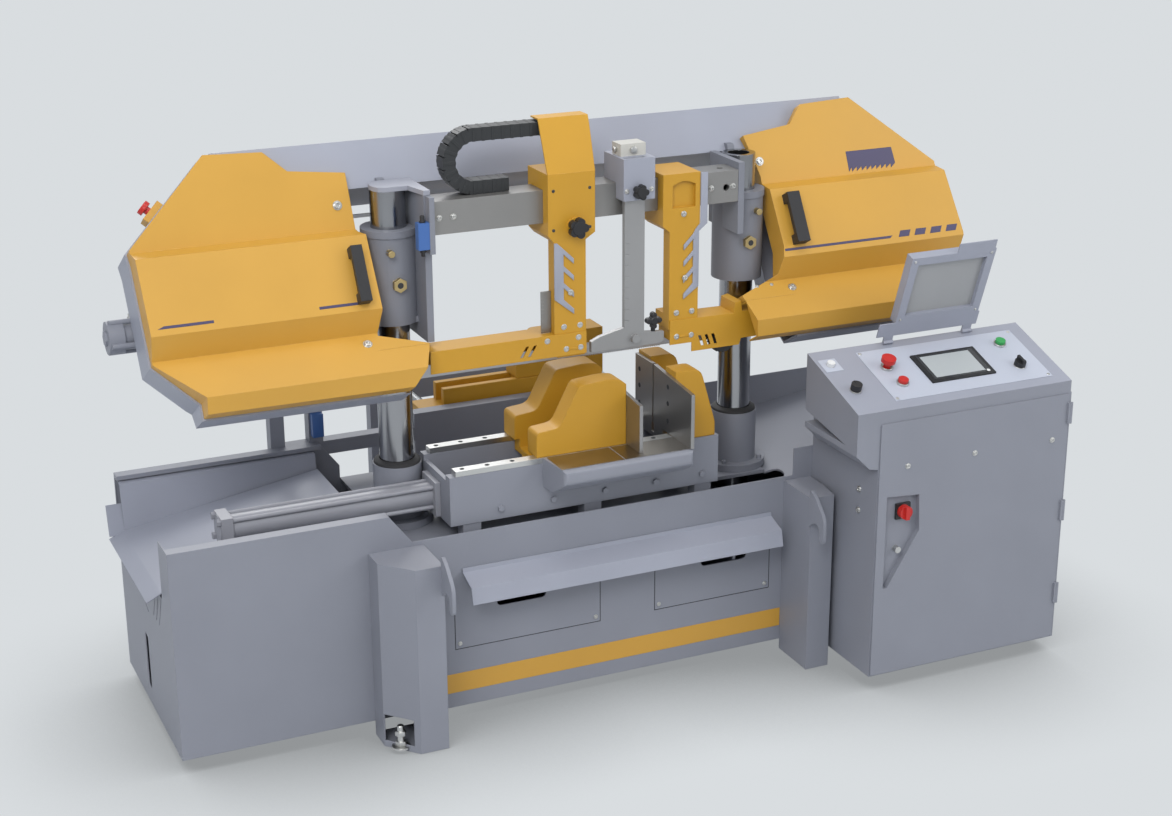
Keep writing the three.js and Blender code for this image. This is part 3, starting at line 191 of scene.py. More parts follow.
def dress(node, paint, parts=()):
    """Finishes a node. Each part names another paint and the box, in millimetres, it covers."""
    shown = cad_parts[node]
    mesh = shown.data
    for layer in ("custom_normal", "sharp_face", "sharp_edge"):
        if layer in mesh.attributes:
            mesh.attributes.remove(mesh.attributes[layer])
    mesh.polygons.foreach_set("use_smooth", [True] * len(mesh.polygons))
    mesh.materials.clear()
    mesh.materials.append(paint)
    for second, place, low, high in parts:
        mesh.materials.append(second)
        back = place.inverted()
        for face in mesh.polygons:
            spot = back @ face.center
            if all(a <= c <= b for a, c, b in zip(low, spot, high)):
                face.material_index = len(mesh.materials) - 1
    weld = shown.modifiers.new("weld", "WELD")
    weld.merge_threshold = 0.00002
    split = shown.modifiers.new("edges", "EDGE_SPLIT")
    split.split_angle = radians(28)


grey_enamel = finish("grey_enamel", (0.235, 0.245, 0.285), 0.45)
dress("left_housing", grey_enamel)

# ---------------------------------------------------------------------------
# Chip chute: a folded sheet floor that falls to the left and a steep flank at
# the back, spot welded inside the left housing.
# ---------------------------------------------------------------------------
# Paler grey enamel. It is the own pale grey of the back beam, wheel housings, finger plates, feeler
# block and screen lid. The chute, drip shelf and desk top are sprayed the housing's grey and take
# it as painted top light on their upward faces.
pale_paint_and_top_light = finish("pale_grey_paint_and_top_light", (0.31, 0.325, 0.385), 0.42, wear=0.2)
dress("chip_chute", pale_paint_and_top_light)

# ---------------------------------------------------------------------------
# Front panel: 4 mm plate between the posts, with two hand openings. A yellow
# band is sprayed across it low down, and two hatches are let into the plate.
# ---------------------------------------------------------------------------
PANEL_FACE = -155


def prism(shape, axis, outline, span, holes=()):
    """Adds a closed outline, less its holes, pushed along an axis."""
    def place(u, v, w):
        return {"x": (w, u, v), "y": (u, w, v), "z": (u, v, w)}[axis]

    made = bmesh.new()
    edges = []
    for loop in (outline, *holes):
        corners = [made.verts.new(place(u, v, span[0])) for u, v in loop]
        edges += [made.edges.new(pair) for pair in zip(corners, corners[1:] + corners[:1])]
    bmesh.ops.triangle_fill(made, edges=edges, use_beauty=True)
    pushed = bmesh.ops.extrude_face_region(made, geom=made.faces[:], use_keep_orig=True)["geom"]
    moved = [g for g in pushed if isinstance(g, bmesh.types.BMVert)]
    bmesh.ops.translate(made, verts=moved, vec=Vector(place(0, 0, span[1] - span[0])))
    pour(made, shape)


def pour(made, shape, turn=None):
    """Moves one shape's faces into another, turned on the way."""
    if turn is not None:
        made.transform(turn)
    bmesh.ops.recalc_face_normals(made, faces=made.faces)
    carrier = bpy.data.meshes.new("carrier")
    made.to_mesh(carrier)
    made.free()
    shape.from_mesh(carrier)
    bpy.data.meshes.remove(carrier)


def block(x, z):
    """A rectangle's corners."""
    return [(x[0], z[0]), (x[1], z[0]), (x[1], z[1]), (x[0], z[1])]


def fit(name, body, paint, shape, place=UPRIGHT, edge=0.4):
    """Makes a piece from a shape in millimetres, softens its edges and lets it ride a body."""
    mesh = bpy.data.meshes.new(name)
    shape.to_mesh(mesh)
    shape.free()
    mesh.transform(place)
    mesh.polygons.foreach_set("use_smooth", [True] * len(mesh.polygons))
    mesh.materials.append(paint)
    made = bpy.data.objects.new(name, mesh)
    bpy.context.scene.collection.objects.link(made)
    if edge:
        soft = made.modifiers.new("soft_edges", "BEVEL")
        soft.width = edge * MM
        soft.segments = 2
        soft.limit_method = "ANGLE"
        soft.angle_limit = radians(35)
    split = made.modifiers.new("edges", "EDGE_SPLIT")
    split.split_angle = radians(28)
    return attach(made, body)


yellow_enamel = finish("yellow_enamel", (0.57, 0.31, 0.045), 0.42, rubbed=(0.8, 0.58, 0.3))
dark_seam = finish("dark_seam", (0.035, 0.037, 0.042), 0.8, bump=0.1)
dress("front_panel", grey_enamel)
band = bmesh.new()
prism(band, "y", block((-528, 528), (72, 127)), (PANEL_FACE - 0.4, PANEL_FACE - 0.05))
fit("yellow_band", "base", yellow_enamel, band, edge=0)
hatches = bmesh.new()
for left, right, low, high in ((-450, -30, 196, 372), (132, 490, 196, 372)):
    for x, z in (
        ((left, left + 2), (low, high)),
        ((right - 2, right), (low, high)),
        ((left, right), (low, low + 2)),
    ):
        prism(hatches, "y", block(x, z), (PANEL_FACE - 0.35, PANEL_FACE - 0.05))
fit("hatch_seams", "base", dark_seam, hatches, edge=0)

# ---------------------------------------------------------------------------
# Cap screws: zinc plated, with a round socket. Four hold the hatches, and the
# same screws hold the covers, guards and door further on.
# ---------------------------------------------------------------------------
FRONT = Vector((0, -1, 0))


def turned(shape, axis, profile, at, sides=24):
    """Adds a lathe-turned form: a profile of (along, radius) about an axis."""
    made = bmesh.new()
    rings = []
    for along, radius in profile:
        ring = []
        for i in range(sides):
            u = at[0] + radius * cos(2 * pi * i / sides)
            v = at[1] + radius * sin(2 * pi * i / sides)
            spot = {"x": (along, u, v), "y": (u, along, v), "z": (u, v, along)}[axis]
            ring.append(made.verts.new(spot))
        rings.append(ring)
    for first, second in zip(rings, rings[1:]):
        for i in range(sides):
            j = (i + 1) % sides
            made.faces.new((first[i], first[j], second[j], second[i]))
    made.faces.new(rings[0])
    made.faces.new(rings[-1])
    pour(made, shape)


def cap_screws(name, body, spots, radius, height, paint, place=UPRIGHT):
    """A set of screws, each at a point and standing along a direction."""
    shape = bmesh.new()
    for point, outward in spots:
        one = bmesh.new()
        profile = [
            (-0.5, radius * 1.35), (height * 0.22, radius * 1.35), (height * 0.22, radius),
            (height * 0.9, radius), (height, radius * 0.88), (height, radius * 0.5),
            (height * 0.45, radius * 0.46),
        ]
        turned(one, "z", profile, (0, 0), 18)
        turn = Vector((0, 0, 1)).rotation_difference(Vector(outward)).to_matrix().to_4x4()
        pour(one, shape, Matrix.Translation(point) @ turn)
    return fit(name, body, paint, shape, place, edge=0)


zinc_plate = finish("zinc_plate", (0.60, 0.60, 0.58), 0.33, metal=1.0, wear=0.1, fine=1500)
cap_screws(
    "hatch_screws", "base",
    [((x, PANEL_FACE, z), FRONT) for x in (-436, -44, 146, 476) for z in (212,)],
    4.5, 4, zinc_plate,
)

# ---------------------------------------------------------------------------
# Drip shelf: a folded sheet lip over the hand openings, sprayed grey with the panel. It takes the
# paler grey as painted top light on its upward face.
# ---------------------------------------------------------------------------
dress("drip_shelf", pale_paint_and_top_light)

# ---------------------------------------------------------------------------
# Base frame: welded deck, webs, back wall and right chip housing. Cut edges
# are ground and the whole is sprayed grey.
# ---------------------------------------------------------------------------
dress("base_frame", grey_enamel)

# ---------------------------------------------------------------------------
# Corner posts with lifting hooks: folded sheet with plate hooks welded on.
# A levelling screw with its lock nut stands in the left post's window.
# ---------------------------------------------------------------------------
dress("left_post", grey_enamel)
dress("right_post", grey_enamel)
levelling = bmesh.new()
turned(levelling, "z", [(8.5, 24), (14, 24), (14, 9), (70, 9), (72, 7)], (-645, -262), 24)
turned(levelling, "z", [(15, 15), (27, 15), (28, 13)], (-645, -262), 6)
turned(levelling, "z", [(44, 15), (56, 15), (57, 13)], (-645, -262), 6)
fit("levelling_screw", "base", zinc_plate, levelling)

# ---------------------------------------------------------------------------
# Columns: hard-chromed tubes ground and polished. Each slides in a flanged
# collar with a rubber wiper on top; the lifting ram stands in the left one.
# ---------------------------------------------------------------------------
COLUMNS = ((-505, 101), (505, 101))
hard_chrome = finish(
    "hard_chrome", (0.34, 0.345, 0.355), 0.2, metal=1.0, stretch=(1, 1, 0.05), bump=0.02, wear=0.05,
)
wiper_rubber = finish("wiper_rubber", (0.025, 0.025, 0.027), 0.7, fine=1500, bump=0.2, wear=0.1)
for node in ("column_base_left", "column_base_right"):
    dress(node, grey_enamel)
dress("lift_ram", hard_chrome)
column_cap_grey = finish("column_cap_grey", (0.30, 0.31, 0.36), 0.45)
dress("column_left", hard_chrome, [
    (column_cap_grey, UPRIGHT, (-580, -30, 1385.9), (-420, 160, 1400)),
])
dress("column_right", hard_chrome)
wipers = bmesh.new()
for centre in COLUMNS:
    profile = [(650.3, 63), (656, 61), (660, 54), (662, 47.2), (651, 47.1)]
    turned(wipers, "z", profile, centre, 40)
fit("column_wipers", "base", wiper_rubber, wipers, edge=0)

# ---------------------------------------------------------------------------
# Bow sleeves: grey cast sleeves that grip the columns, with a brass plug and
# oiler on each and a blue position sensor on the left one's bracket.
# ---------------------------------------------------------------------------
cast_grey = finish("cast_grey", (0.20, 0.21, 0.245), 0.5, fine=350, bump=0.2)
brass = finish("brass", (0.55, 0.42, 0.2), 0.35, metal=1.0, wear=0.1)
sensor_blue = finish("sensor_blue", (0.05, 0.13, 0.36), 0.4, wear=0.1)
dress("bow_sleeve_left", cast_grey, [
    (brass, UPRIGHT, (-526, 12, 1129), (-484, 30, 1171)),
    (brass, UPRIGHT, (-538, 12, 1225), (-516, 30, 1245)),
    (sensor_blue, UPRIGHT, (-477, -46, 1250), (-446.5, -20, 1325)),
])
dress("bow_sleeve_right", cast_grey, [
    (brass, UPRIGHT, (484, 12, 1129), (526, 30, 1171)),
    (brass, UPRIGHT, (516, 12, 1225), (538, 30, 1245)),
])
sockets = bmesh.new()
for x in (-505, 505):
    turned(sockets, "y", [(19.8, 8), (19.95, 8)], (x, 1150), 18)
fit("plug_sockets", "bow", dark_seam, sockets, edge=0)
sensor = bmesh.new()
turned(sensor, "z", [(1322, 8), (1326, 8), (1326, 6), (1338, 6), (1340, 4)], (-461, -33), 16)
turned(sensor, "z", [(1235, 5), (1245, 5), (1245, 8), (1253, 8)], (-461, -33), 16)
gland_black = finish("gland_black", (0.02, 0.02, 0.022), 0.5, fine=1300, bump=0.1)
fit("sensor_glands", "bow", gland_black, sensor)

# ---------------------------------------------------------------------------
# Back beam: a rectangular steel tube that leans with the wheels and ties the
# two sleeves together, sprayed pale grey, with blanking plates screwed on.
# ---------------------------------------------------------------------------
LEANING = UPRIGHT @ Matrix.Translation((0, 0, 920)) @ Matrix.Rotation(radians(-30), 4, "X")
dress("back_beam", pale_paint_and_top_light)

# ---------------------------------------------------------------------------
# Guide beam: ground square steel tube across the front of the sleeves. The
# guide arms slide along it.
# ---------------------------------------------------------------------------
ground_steel = finish(
    "ground_steel", (0.30, 0.295, 0.285), 0.42, metal=0.75, fine=700, stretch=(0.05, 1, 1),
    bump=0.12, wear=0.4, rubbed=(0.6, 0.6, 0.59), uneven=0.08,
)
dress("guide_beam", ground_steel)
beam_screws = [((x, -17, 1324), FRONT) for x in (-410, -372, 360, 425)]
cap_screws("guide_beam_screws", "bow", beam_screws, 6, 6, zinc_plate)

# ---------------------------------------------------------------------------
# Wheel housings: folded sheet boxes welded to the back beam, open in front.
# ---------------------------------------------------------------------------
dress("wheel_housing_left", pale_paint_and_top_light)
dress("wheel_housing_right", pale_paint_and_top_light)

# ---------------------------------------------------------------------------
# Blade wheels: cast iron with a turned rim, five round holes in the web and
# six screws round the hub.
# ---------------------------------------------------------------------------
WHEEL_HEIGHT = 215.4
dress("idler_wheel", cast_grey)
dress("drive_wheel", cast_grey)
for name, body, x in (("idler_hub", "idler", -870), ("drive_hub", "driver", 870)):
    ring = [
        ((x + 44 * cos(radians(a)), -17, WHEEL_HEIGHT + 44 * sin(radians(a))), FRONT)
        for a in range(0, 360, 60)
    ]
    cap_screws(name + "_screws", body, ring, 5, 5, zinc_plate, LEANING)

# ---------------------------------------------------------------------------
# Saw blade: a welded loop of spring steel with a blued back. Its teeth are
# ground with a small set; they show between the two guide arms.
# ---------------------------------------------------------------------------
blade_steel = finish(
    "blade_steel", (0.42, 0.42, 0.43), 0.35, metal=1.0, fine=800, stretch=(0.1, 1, 1), bump=0.1,
)
dress("saw_blade", blade_steel)
teeth = bmesh.new()
for i in range(36):
    x = -18 + i * 6.6
    prism(teeth, "y", [(x, 903.1), (x + 6.3, 903.1), (x + 5.2, 900.2)], (-0.55, 0.55))
fit("blade_teeth", "bow", blade_steel, teeth, edge=0)

# ---------------------------------------------------------------------------
# Blade tension: a cast slide behind the left housing carries the idler, and a
# small hydraulic cylinder with tie rods pushes it out.
# ---------------------------------------------------------------------------
dress("idler_carriage", cast_grey)
dress("tension_cylinder", grey_enamel)
elbow = bmesh.new()
turned(elbow, "z", [(255, 9), (262, 9), (262, 6), (270, 6)], (-1152, 96), 6)
fit("tension_elbow", "bow", zinc_plate, elbow, LEANING)

# ---------------------------------------------------------------------------
# Gear motor: a cast worm gearbox with a finned motor standing on it, sprayed
# grey, with a terminal box held by four screws.
# ---------------------------------------------------------------------------
dress("gear_motor", grey_enamel)
terminal_screws = [((860, y, z), (1, 0, 0)) for y in (120, 180) for z in (440, 520)]
cap_screws("terminal_screws", "bow", terminal_screws, 4, 4, zinc_plate, LEANING)

# ---------------------------------------------------------------------------
# Wheel covers: 3 mm sheet, folded and welded, sprayed yellow, with a black
# moulded bridge handle, two captive screws and a plain dark stripe each. The
# right one also has slanted dashes and a plain saw-toothed patch.
# ---------------------------------------------------------------------------
COVER_FACE = -132
handle_black = finish("handle_black", (0.016, 0.016, 0.018), 0.45, fine=1300, bump=0.15)
stripe_film = finish("dark_purple_film", (0.058, 0.050, 0.115), 0.42, wear=0.05, bump=0.02)
dress("wheel_cover_left", yellow_enamel, [
    (handle_black, LEANING, (-640, -170, 160), (-600, COVER_FACE - 0.5, 315)),
])
dress("wheel_cover_right", yellow_enamel, [
    (handle_black, LEANING, (609, -170, 175), (655, COVER_FACE - 0.5, 328)),
])
UPPER_FACE = (Vector((0, -219, -35))).normalized()
LOWER_FACE = (Vector((0, -115, 60))).normalized()
left_screws = [((-630, -107.1, 433), UPPER_FACE), ((-620, -94.6, 72), LOWER_FACE)]
right_screws = [((584, -107.1, 433), UPPER_FACE), ((601, -94.1, 73), LOWER_FACE)]
cap_screws("cover_screws_left", "left_cover", left_screws, 9, 6, zinc_plate, LEANING)
cap_screws("cover_screws_right", "right_cover", right_screws, 9, 6, zinc_plate, LEANING)
small_screws = [((x, -85.5, 89.5), LOWER_FACE) for x in (500, 545)]
cap_screws("cover_rivets_right", "right_cover", small_screws, 4, 2.5, zinc_plate, LEANING)
FILM = (COVER_FACE - 0.45, COVER_FACE - 0.05)
stripes = bmesh.new()
prism(stripes, "y", [(-1138, 166), (-1122, 173), (-1000, 173), (-1000, 166)], FILM)
prism(stripes, "y", [(-735, 166), (-735, 173), (-612, 173), (-604, 166)], FILM)
fit("cover_stripe_left", "left_cover", stripe_film, stripes, LEANING, edge=0)
stripes = bmesh.new()
prism(stripes, "y", [(584, 166), (584, 173), (930, 173), (920, 166)], FILM)
for x in (948, 1000, 1052, 1104):
    prism(stripes, "y", [(x, 166), (x + 34, 166), (x + 44, 184), (x + 10, 184)], FILM)
fit("cover_stripe_right", "right_cover", stripe_film, stripes, LEANING, edge=0)
patch = bmesh.new()
saw = [(860, 66), (1010, 66), (1016, 20)]
for i in range(9):
    saw += [(1000 - i * 16, 8), (1000 - i * 16, 20)]
prism(patch, "z", saw + [(862, 8)], (0.05, 0.45))
UPPER_LEAN = 0.1585
tilt = (
    Matrix.Translation((0, COVER_FACE + 35, 370))
    @ Matrix.Rotation(radians(90) + UPPER_LEAN, 4, "X")
)
fit("saw_tooth_patch", "right_cover", stripe_film, patch, LEANING @ tilt, edge=0)

# ---------------------------------------------------------------------------
# Bow stop: a small yellow box on the slanted edge of the left housing with a
# red mushroom button.
# ---------------------------------------------------------------------------
button_red = finish("button_red", (0.52, 0.02, 0.015), 0.32, fine=1300, bump=0.03, wear=0.05)
dress("bow_stop_box", yellow_enamel)
dress("bow_estop", button_red)

# ---------------------------------------------------------------------------
# Guide arms: fabricated steel arms, sprayed yellow, clamped on the guide beam.
# A pale grey plate with slanted fingers is screwed to the front of each, and
# the left arm slides and has a hand knob and a sheet cowl for the cables.
# ---------------------------------------------------------------------------
ARM_FACE = -50


def fingers(root, tip, start, pitch, count):
    """The slanted fingers down one edge of an arm's plate."""
    edge = []
    for i in range(count):
        z = start - i * pitch
        edge += [(root, z), (tip, z - 28), (tip, z - 42), (root, z - 14)]
    return edge[:-1]


# Painted shade: the guide arms, their cowl and the blade guards are sprayed the same yellow as the
# wheel covers. This darker, deeper copy stands in for the shade they sit in, low under the bow.
shaded_guard_yellow = finish("shaded_guard_enamel", (0.52, 0.272, 0.018), 0.5, rubbed=(0.75, 0.52, 0.22))
dress("guide_arm_left", shaded_guard_yellow)
dress("guide_arm_right", shaded_guard_yellow)
plate = bmesh.new()
corners = [(-112, 1083), (-112, 1233), (-104, 1233)]
outline = corners + fingers(-86, -57, 1216, 45, 4) + [(-107, 1079)]
prism(plate, "y", outline, (ARM_FACE - 3, ARM_FACE - 0.05))
fit("finger_plate_left", "left_arm", pale_paint_and_top_light, plate)
plate = bmesh.new()
outline = [
    (307, 1071), (307, 1222), (331, 1241), (331, 1379), (311, 1379), (311, 1243), (297, 1229),
] + fingers(290, 262, 1216, 45, 4) + [(303, 1068)]
prism(plate, "y", outline, (ARM_FACE - 3, ARM_FACE - 0.05))
fit("finger_plate_right", "bow", pale_paint_and_top_light, plate)
left_bolts = [((x, ARM_FACE, z), FRONT) for x, z in ((-85, 1006), (-39, 1006))]
left_bolts.append(((-66, ARM_FACE - 3, 1098), FRONT))
cap_screws("arm_screws_left", "left_arm", left_bolts, 6, 1, zinc_plate)
right_bolts = [((x, ARM_FACE, z), FRONT) for x, z in ((243, 1003), (289, 1003))]
right_bolts += [((266, ARM_FACE - 3, 1098), FRONT), ((262, ARM_FACE, 1272), FRONT)]
cap_screws("arm_screws_right", "bow", right_bolts, 6, 5, zinc_plate)
cowl_screws = [((x, ARM_FACE, z), FRONT) for x in (-112, -10) for z in (1267, 1370)]
blackened_screw = finish("blackened_screw", (0.05, 0.05, 0.05), 0.5)
cap_screws("cowl_screws", "left_arm", cowl_screws, 3.2, 2, blackened_screw)
rule = bmesh.new()
prism(rule, "y", block((-141, -113), (990, 1102)), (-30, -26))
for i in range(11):
    mark_end = -133 + 4 * (i % 5 == 0)
    prism(rule, "y", block((-141, mark_end), (994 + i * 10, 995.2 + i * 10)), (-30.5, -30))
fit("setting_plate", "left_arm", ground_steel, rule)

# ---------------------------------------------------------------------------
# Hand knobs: black mouldings on steel studs that clamp the arm and the feeler.
# ---------------------------------------------------------------------------
dress("arm_knob", handle_black)
dress("feeler_knob", handle_black)

# ---------------------------------------------------------------------------
# Blade guards: folded yellow sheet over the blade on each side of the work,
# bolted to the arms, with slanted slots that show the blade.
# ---------------------------------------------------------------------------
GUARD_FACE = -53.3
# Painted shade: the guards and their ties take the darkened copy of the covers' yellow.
dress("blade_guard_left", shaded_guard_yellow)
dress("blade_guard_right", shaded_guard_yellow)
spots = [((x, GUARD_FACE, z), FRONT) for x, z in ((-80, 946), (-39, 946), (-45, 974), (-134, 974))]
cap_screws("guard_screws_left", "left_arm", spots, 6, 1, zinc_plate)
spots = [((x, GUARD_FACE, z), FRONT) for x, z in ((243, 937), (287, 937))]
cap_screws("guard_screws_right", "bow", spots, 6, 1, zinc_plate)
for name, body, x in (("tie_left", "left_arm", (-73, -46)), ("tie_right", "bow", (250, 280))):
    tie = bmesh.new()
    low = 943 if x[0] < 0 else 934
    prism(tie, "y", block(x, (low, low + 5)), (GUARD_FACE - 1.5, GUARD_FACE))
    fit("guard_" + name, body, shaded_guard_yellow, tie)

# ---------------------------------------------------------------------------
# Chip brush: a wheel of steel wire on a short axle in the right guard.
# ---------------------------------------------------------------------------
brush_wire = finish("brush_wire", (0.06, 0.06, 0.062), 0.6, metal=0.5, fine=600, bump=0.8)
dress("chip_brush", brush_wire)

# ---------------------------------------------------------------------------
# Feeler: a ground flat bar that hangs in a block on the guide beam and feels
# the top of the work with its foot. Its switch sits in a pale housing, and a
# four-lobed knob adjusts the foot.
# ---------------------------------------------------------------------------
switch_cream = finish("switch_cream", (0.52, 0.51, 0.47), 0.4, wear=0.05)
dress("feeler_block", pale_paint_and_top_light, [(switch_cream, UPRIGHT, (84, -30, 1436.5), (164, 26, 1470))])
dress("feeler_bar", finish(
    "feeler_steel", (0.34, 0.34, 0.34), 0.45, metal=0.6, fine=700, stretch=(1, 1, 0.05), bump=0.1,
))
cap_screws("feeler_screws", "bow", [((x, -64, 1352), FRONT) for x in (89, 160)], 5, 4, zinc_plate)
lobes = bmesh.new()
for a in range(0, 360, 90):
    middle = (175 + 15 * cos(radians(a)), 991 + 15 * sin(radians(a)))
    turned(lobes, "y", [(-58, 6), (-56, 8), (-42, 8), (-40, 6)], middle, 16)
turned(lobes, "y", [(-60, 9), (-58, 12), (-40, 12), (-38, 10)], (175, 991), 20)
turned(lobes, "z", [(961, 6), (978, 6)], (175, -47), 12)
fit("foot_knob", "feeler", handle_black, lobes)
lever = bmesh.new()
turned(lever, "y", [(-34, 9), (-30, 10), (-28, 10)], (124, 1452), 16)
turned(lever, "x", [(78, 5), (80, 7), (88, 7)], (-2, 1452), 12)
fit("switch_gland", "bow", zinc_plate, lever)

# ---------------------------------------------------------------------------
# Cable chain: black moulded links that carry the arm's cables over its travel.
# ---------------------------------------------------------------------------
chain_black = finish("chain_black", (0.022, 0.024, 0.026), 0.5, fine=1300, bump=0.15)
dress("cable_chain", chain_black)

# ---------------------------------------------------------------------------
# Vise bed: a grey fabricated bed on the deck, with two ground rails bolted on.
# ---------------------------------------------------------------------------
BED_TOP = 680
dress("vise_bed", grey_enamel)
rail_steel = finish(
    "rail_steel", (0.62, 0.62, 0.60), 0.28, metal=1.0, fine=700, stretch=(0.05, 1, 1), bump=0.1,
    uneven=0.08,
)
dress("vise_rail_front", rail_steel)
dress("vise_rail_rear", rail_steel)
rail_bolts = bmesh.new()
for y in (-105, 87):
    for x in (-400, -330, -260, 90, 150):
        profile = [(BED_TOP + 0.05, 6.5), (BED_TOP + 0.25, 6.5), (BED_TOP + 0.25, 3)]
        turned(rail_bolts, "z", profile, (x, y), 16)
fit("rail_bolt_holes", "base", dark_seam, rail_bolts, edge=0)

# ---------------------------------------------------------------------------
# Work tray: a welded grey tray in front of the rails, topped with two ground
# wear plates.
# ---------------------------------------------------------------------------
dress("work_tray", grey_enamel)
wear_steel = finish(
    "wear_plate_steel", (0.33, 0.31, 0.28), 0.3, metal=1.0, fine=500, stretch=(1, 0.05, 1),
    bump=0.1, uneven=0.15, rubbed=(0.8, 0.8, 0.78), wear=0.8,
)
plates = bmesh.new()
for x in ((-170, 10), (13, 203)):
    prism(plates, "z", block(x, (-222, -123)), (BED_TOP + 0.05, BED_TOP + 0.6))
fit("wear_plates", "base", wear_steel, plates, edge=0)

# ---------------------------------------------------------------------------
# Jaws: iron castings sprayed yellow, each with a ground steel face plate held
# by countersunk screws. The moving one slides on the rails.
# ---------------------------------------------------------------------------
# Painted shade: the jaws carry a darker, deeper copy of the yellow enamel, which stands in for the
# shade they sit in low under the bow. The feed carriage and rear jaw share it.
shaded_casting_yellow = finish("shaded_casting_paint", (0.50, 0.262, 0.018), 0.5, fine=300, bump=0.18, edge=5)
dress("moving_jaw", shaded_casting_yellow)
dress("fixed_jaw", shaded_casting_yellow)
face_steel = finish(
    "jaw_plate_steel", (0.36, 0.355, 0.35), 0.33, metal=0.9, fine=500, stretch=(1, 0.05, 1),
    bump=0.1, uneven=0.12, rubbed=(0.7, 0.7, 0.69), wear=0.6,
)
dress("moving_jaw_plate", face_steel)
dress("fixed_jaw_plate", face_steel)
for name, body, x, out in (
    ("moving_jaw_screws", "vise_slide", 74, 1), ("fixed_jaw_screws", "base", 200, -1),
):
    sunk = bmesh.new()
    for y in (-90, 84):
        for z in (715, 765, 812):
            profile = [(x + out * 0.05, 7), (x + out * 0.3, 7), (x + out * 0.3, 3)]
            turned(sunk, "x", profile, (y, z), 18)
    fit(name, body, dark_seam, sunk, edge=0)

# ---------------------------------------------------------------------------
# Clamp cylinder: a honed tube between two heads, drawn together by four tie
# rods, all sprayed grey. Its chromed rod pushes the moving jaw along the rails.
# ---------------------------------------------------------------------------
dress("clamp_cylinder", finish("cylinder_grey", (0.29, 0.295, 0.33), 0.35, wear=0.2))
dress("clamp_rod", hard_chrome)


# ---------------------------------------------------------------------------
# Control cabinet: welded sheet steel with a sloping desk on top. Its lamp cap is white and the
# frame round its screen is black. The desk's top face is sprayed grey like the rest and is painted
# in the paler grey as painted top light.
# ---------------------------------------------------------------------------
CONSOLE = UPRIGHT @ Matrix.Translation((0, -487, 806)) @ Matrix.Rotation(radians(19), 4, "X")
cap_white = finish("cap_white", (0.72, 0.73, 0.73), 0.35, wear=0.0)
bezel_black = finish("bezel_black", (0.014, 0.014, 0.015), 0.3, fine=1300, wear=0.1)
dress("cabinet", grey_enamel, [
    (pale_paint_and_top_light, CONSOLE, (500, -1, -0.3), (1240, 300, 0.3)),
    (cap_white, CONSOLE, (570, 200, 0.6), (602, 230, 20)),
    (bezel_black, CONSOLE, (824, 77, 0.4), (1028, 201, 6)),
])

# ---------------------------------------------------------------------------
# Cabinet door: a folded sheet leaf on three lift-off hinges, with a recess for
# the main switch, a quarter-turn lock and four screws.
# ---------------------------------------------------------------------------
DOOR_FACE = -490.5
dress("cabinet_door", grey_enamel, [
    (zinc_plate, UPRIGHT, (680, DOOR_FACE - 2, 395), (700, DOOR_FACE + 12, 415)),
])
door_spots = [((x, DOOR_FACE, z), FRONT) for x, z in ((708, 642), (919, 645), (1171, 643))]
cap_screws("door_screws", "door", door_spots, 6, 4, zinc_plate)
dress("main_switch", button_red, [(bezel_black, UPRIGHT, (683, -483, 489), (729, -474, 535))])
bolt_spots = ((-400, 560), (-400, 500), (-240, 640), (-240, 430))
side_bolts = [((618, y, z), (-1, 0, 0)) for y, z in bolt_spots]
cap_screws("cabinet_bolts", "base", side_bolts, 7, 5, zinc_plate)

# ---------------------------------------------------------------------------
# Operating panel: a pale printed plate on the desk, cut out for the screen and
# the buttons, with a small screw at each corner.
# ---------------------------------------------------------------------------
BUTTONS = {"estop": (734, 170), "stop": (741, 97), "start": (1114, 195), "selector": (1114, 94)}
panel_film = finish("pale_panel_film", (0.47, 0.50, 0.58), 0.4, wear=0.05, bump=0.02)
plate = bmesh.new()
rounds = [
    [(x + 12 * cos(pi * i / 10), up + 12 * sin(pi * i / 10)) for i in range(20)]
    for x, up in BUTTONS.values()
]
screen_hole = block((824, 1028), (77, 201))
prism(plate, "z", block((683, 1182), (31, 251)), (0.05, 1.0), [screen_hole, *rounds])
fit("operating_panel", "base", panel_film, plate, CONSOLE, edge=0)
lamp_plate = bmesh.new()
prism(lamp_plate, "z", block((560, 612), (188, 242)), (0.05, 0.9), [
    [(586 + 11.5 * cos(pi * i / 10), 215 + 11.5 * sin(pi * i / 10)) for i in range(20)],
])
fit("lamp_plate", "base", panel_film, lamp_plate, CONSOLE, edge=0)
corner_spots = [((x, up, 1), (0, 0, 1)) for x in (692, 1173) for up in (40, 242)]
cap_screws("panel_screws", "base", corner_spots, 3.5, 2, zinc_plate, CONSOLE)
collars = bmesh.new()
for key, (x, up) in BUTTONS.items():
    rise = 7.6 if key != "selector" else 2.6
    seat = min(rise, 3.4)
    profile = [
        (1.05, 17), (rise - 0.6, 17), (rise, 16.4), (rise, 14.8),
        (seat, 14.8), (seat, 10.6), (1.05, 10.6),
    ]
    turned(collars, "z", profile, (x, up), 28)
turned(collars, "z", [(0.3, 16), (3, 16), (3.6, 14), (3.6, 10.6), (0.3, 10.6)], (597, 99), 28)
fit("button_collars", "base", zinc_plate, collars, CONSOLE, edge=0)
dress("estop_button", button_red)
dress("stop_button", button_red)
button_green = finish("button_green", (0.03, 0.33, 0.08), 0.32, fine=1300, bump=0.03, wear=0.05)
dress("start_button", button_green)
dress("mode_selector", handle_black)
dress("speed_knob", handle_black)

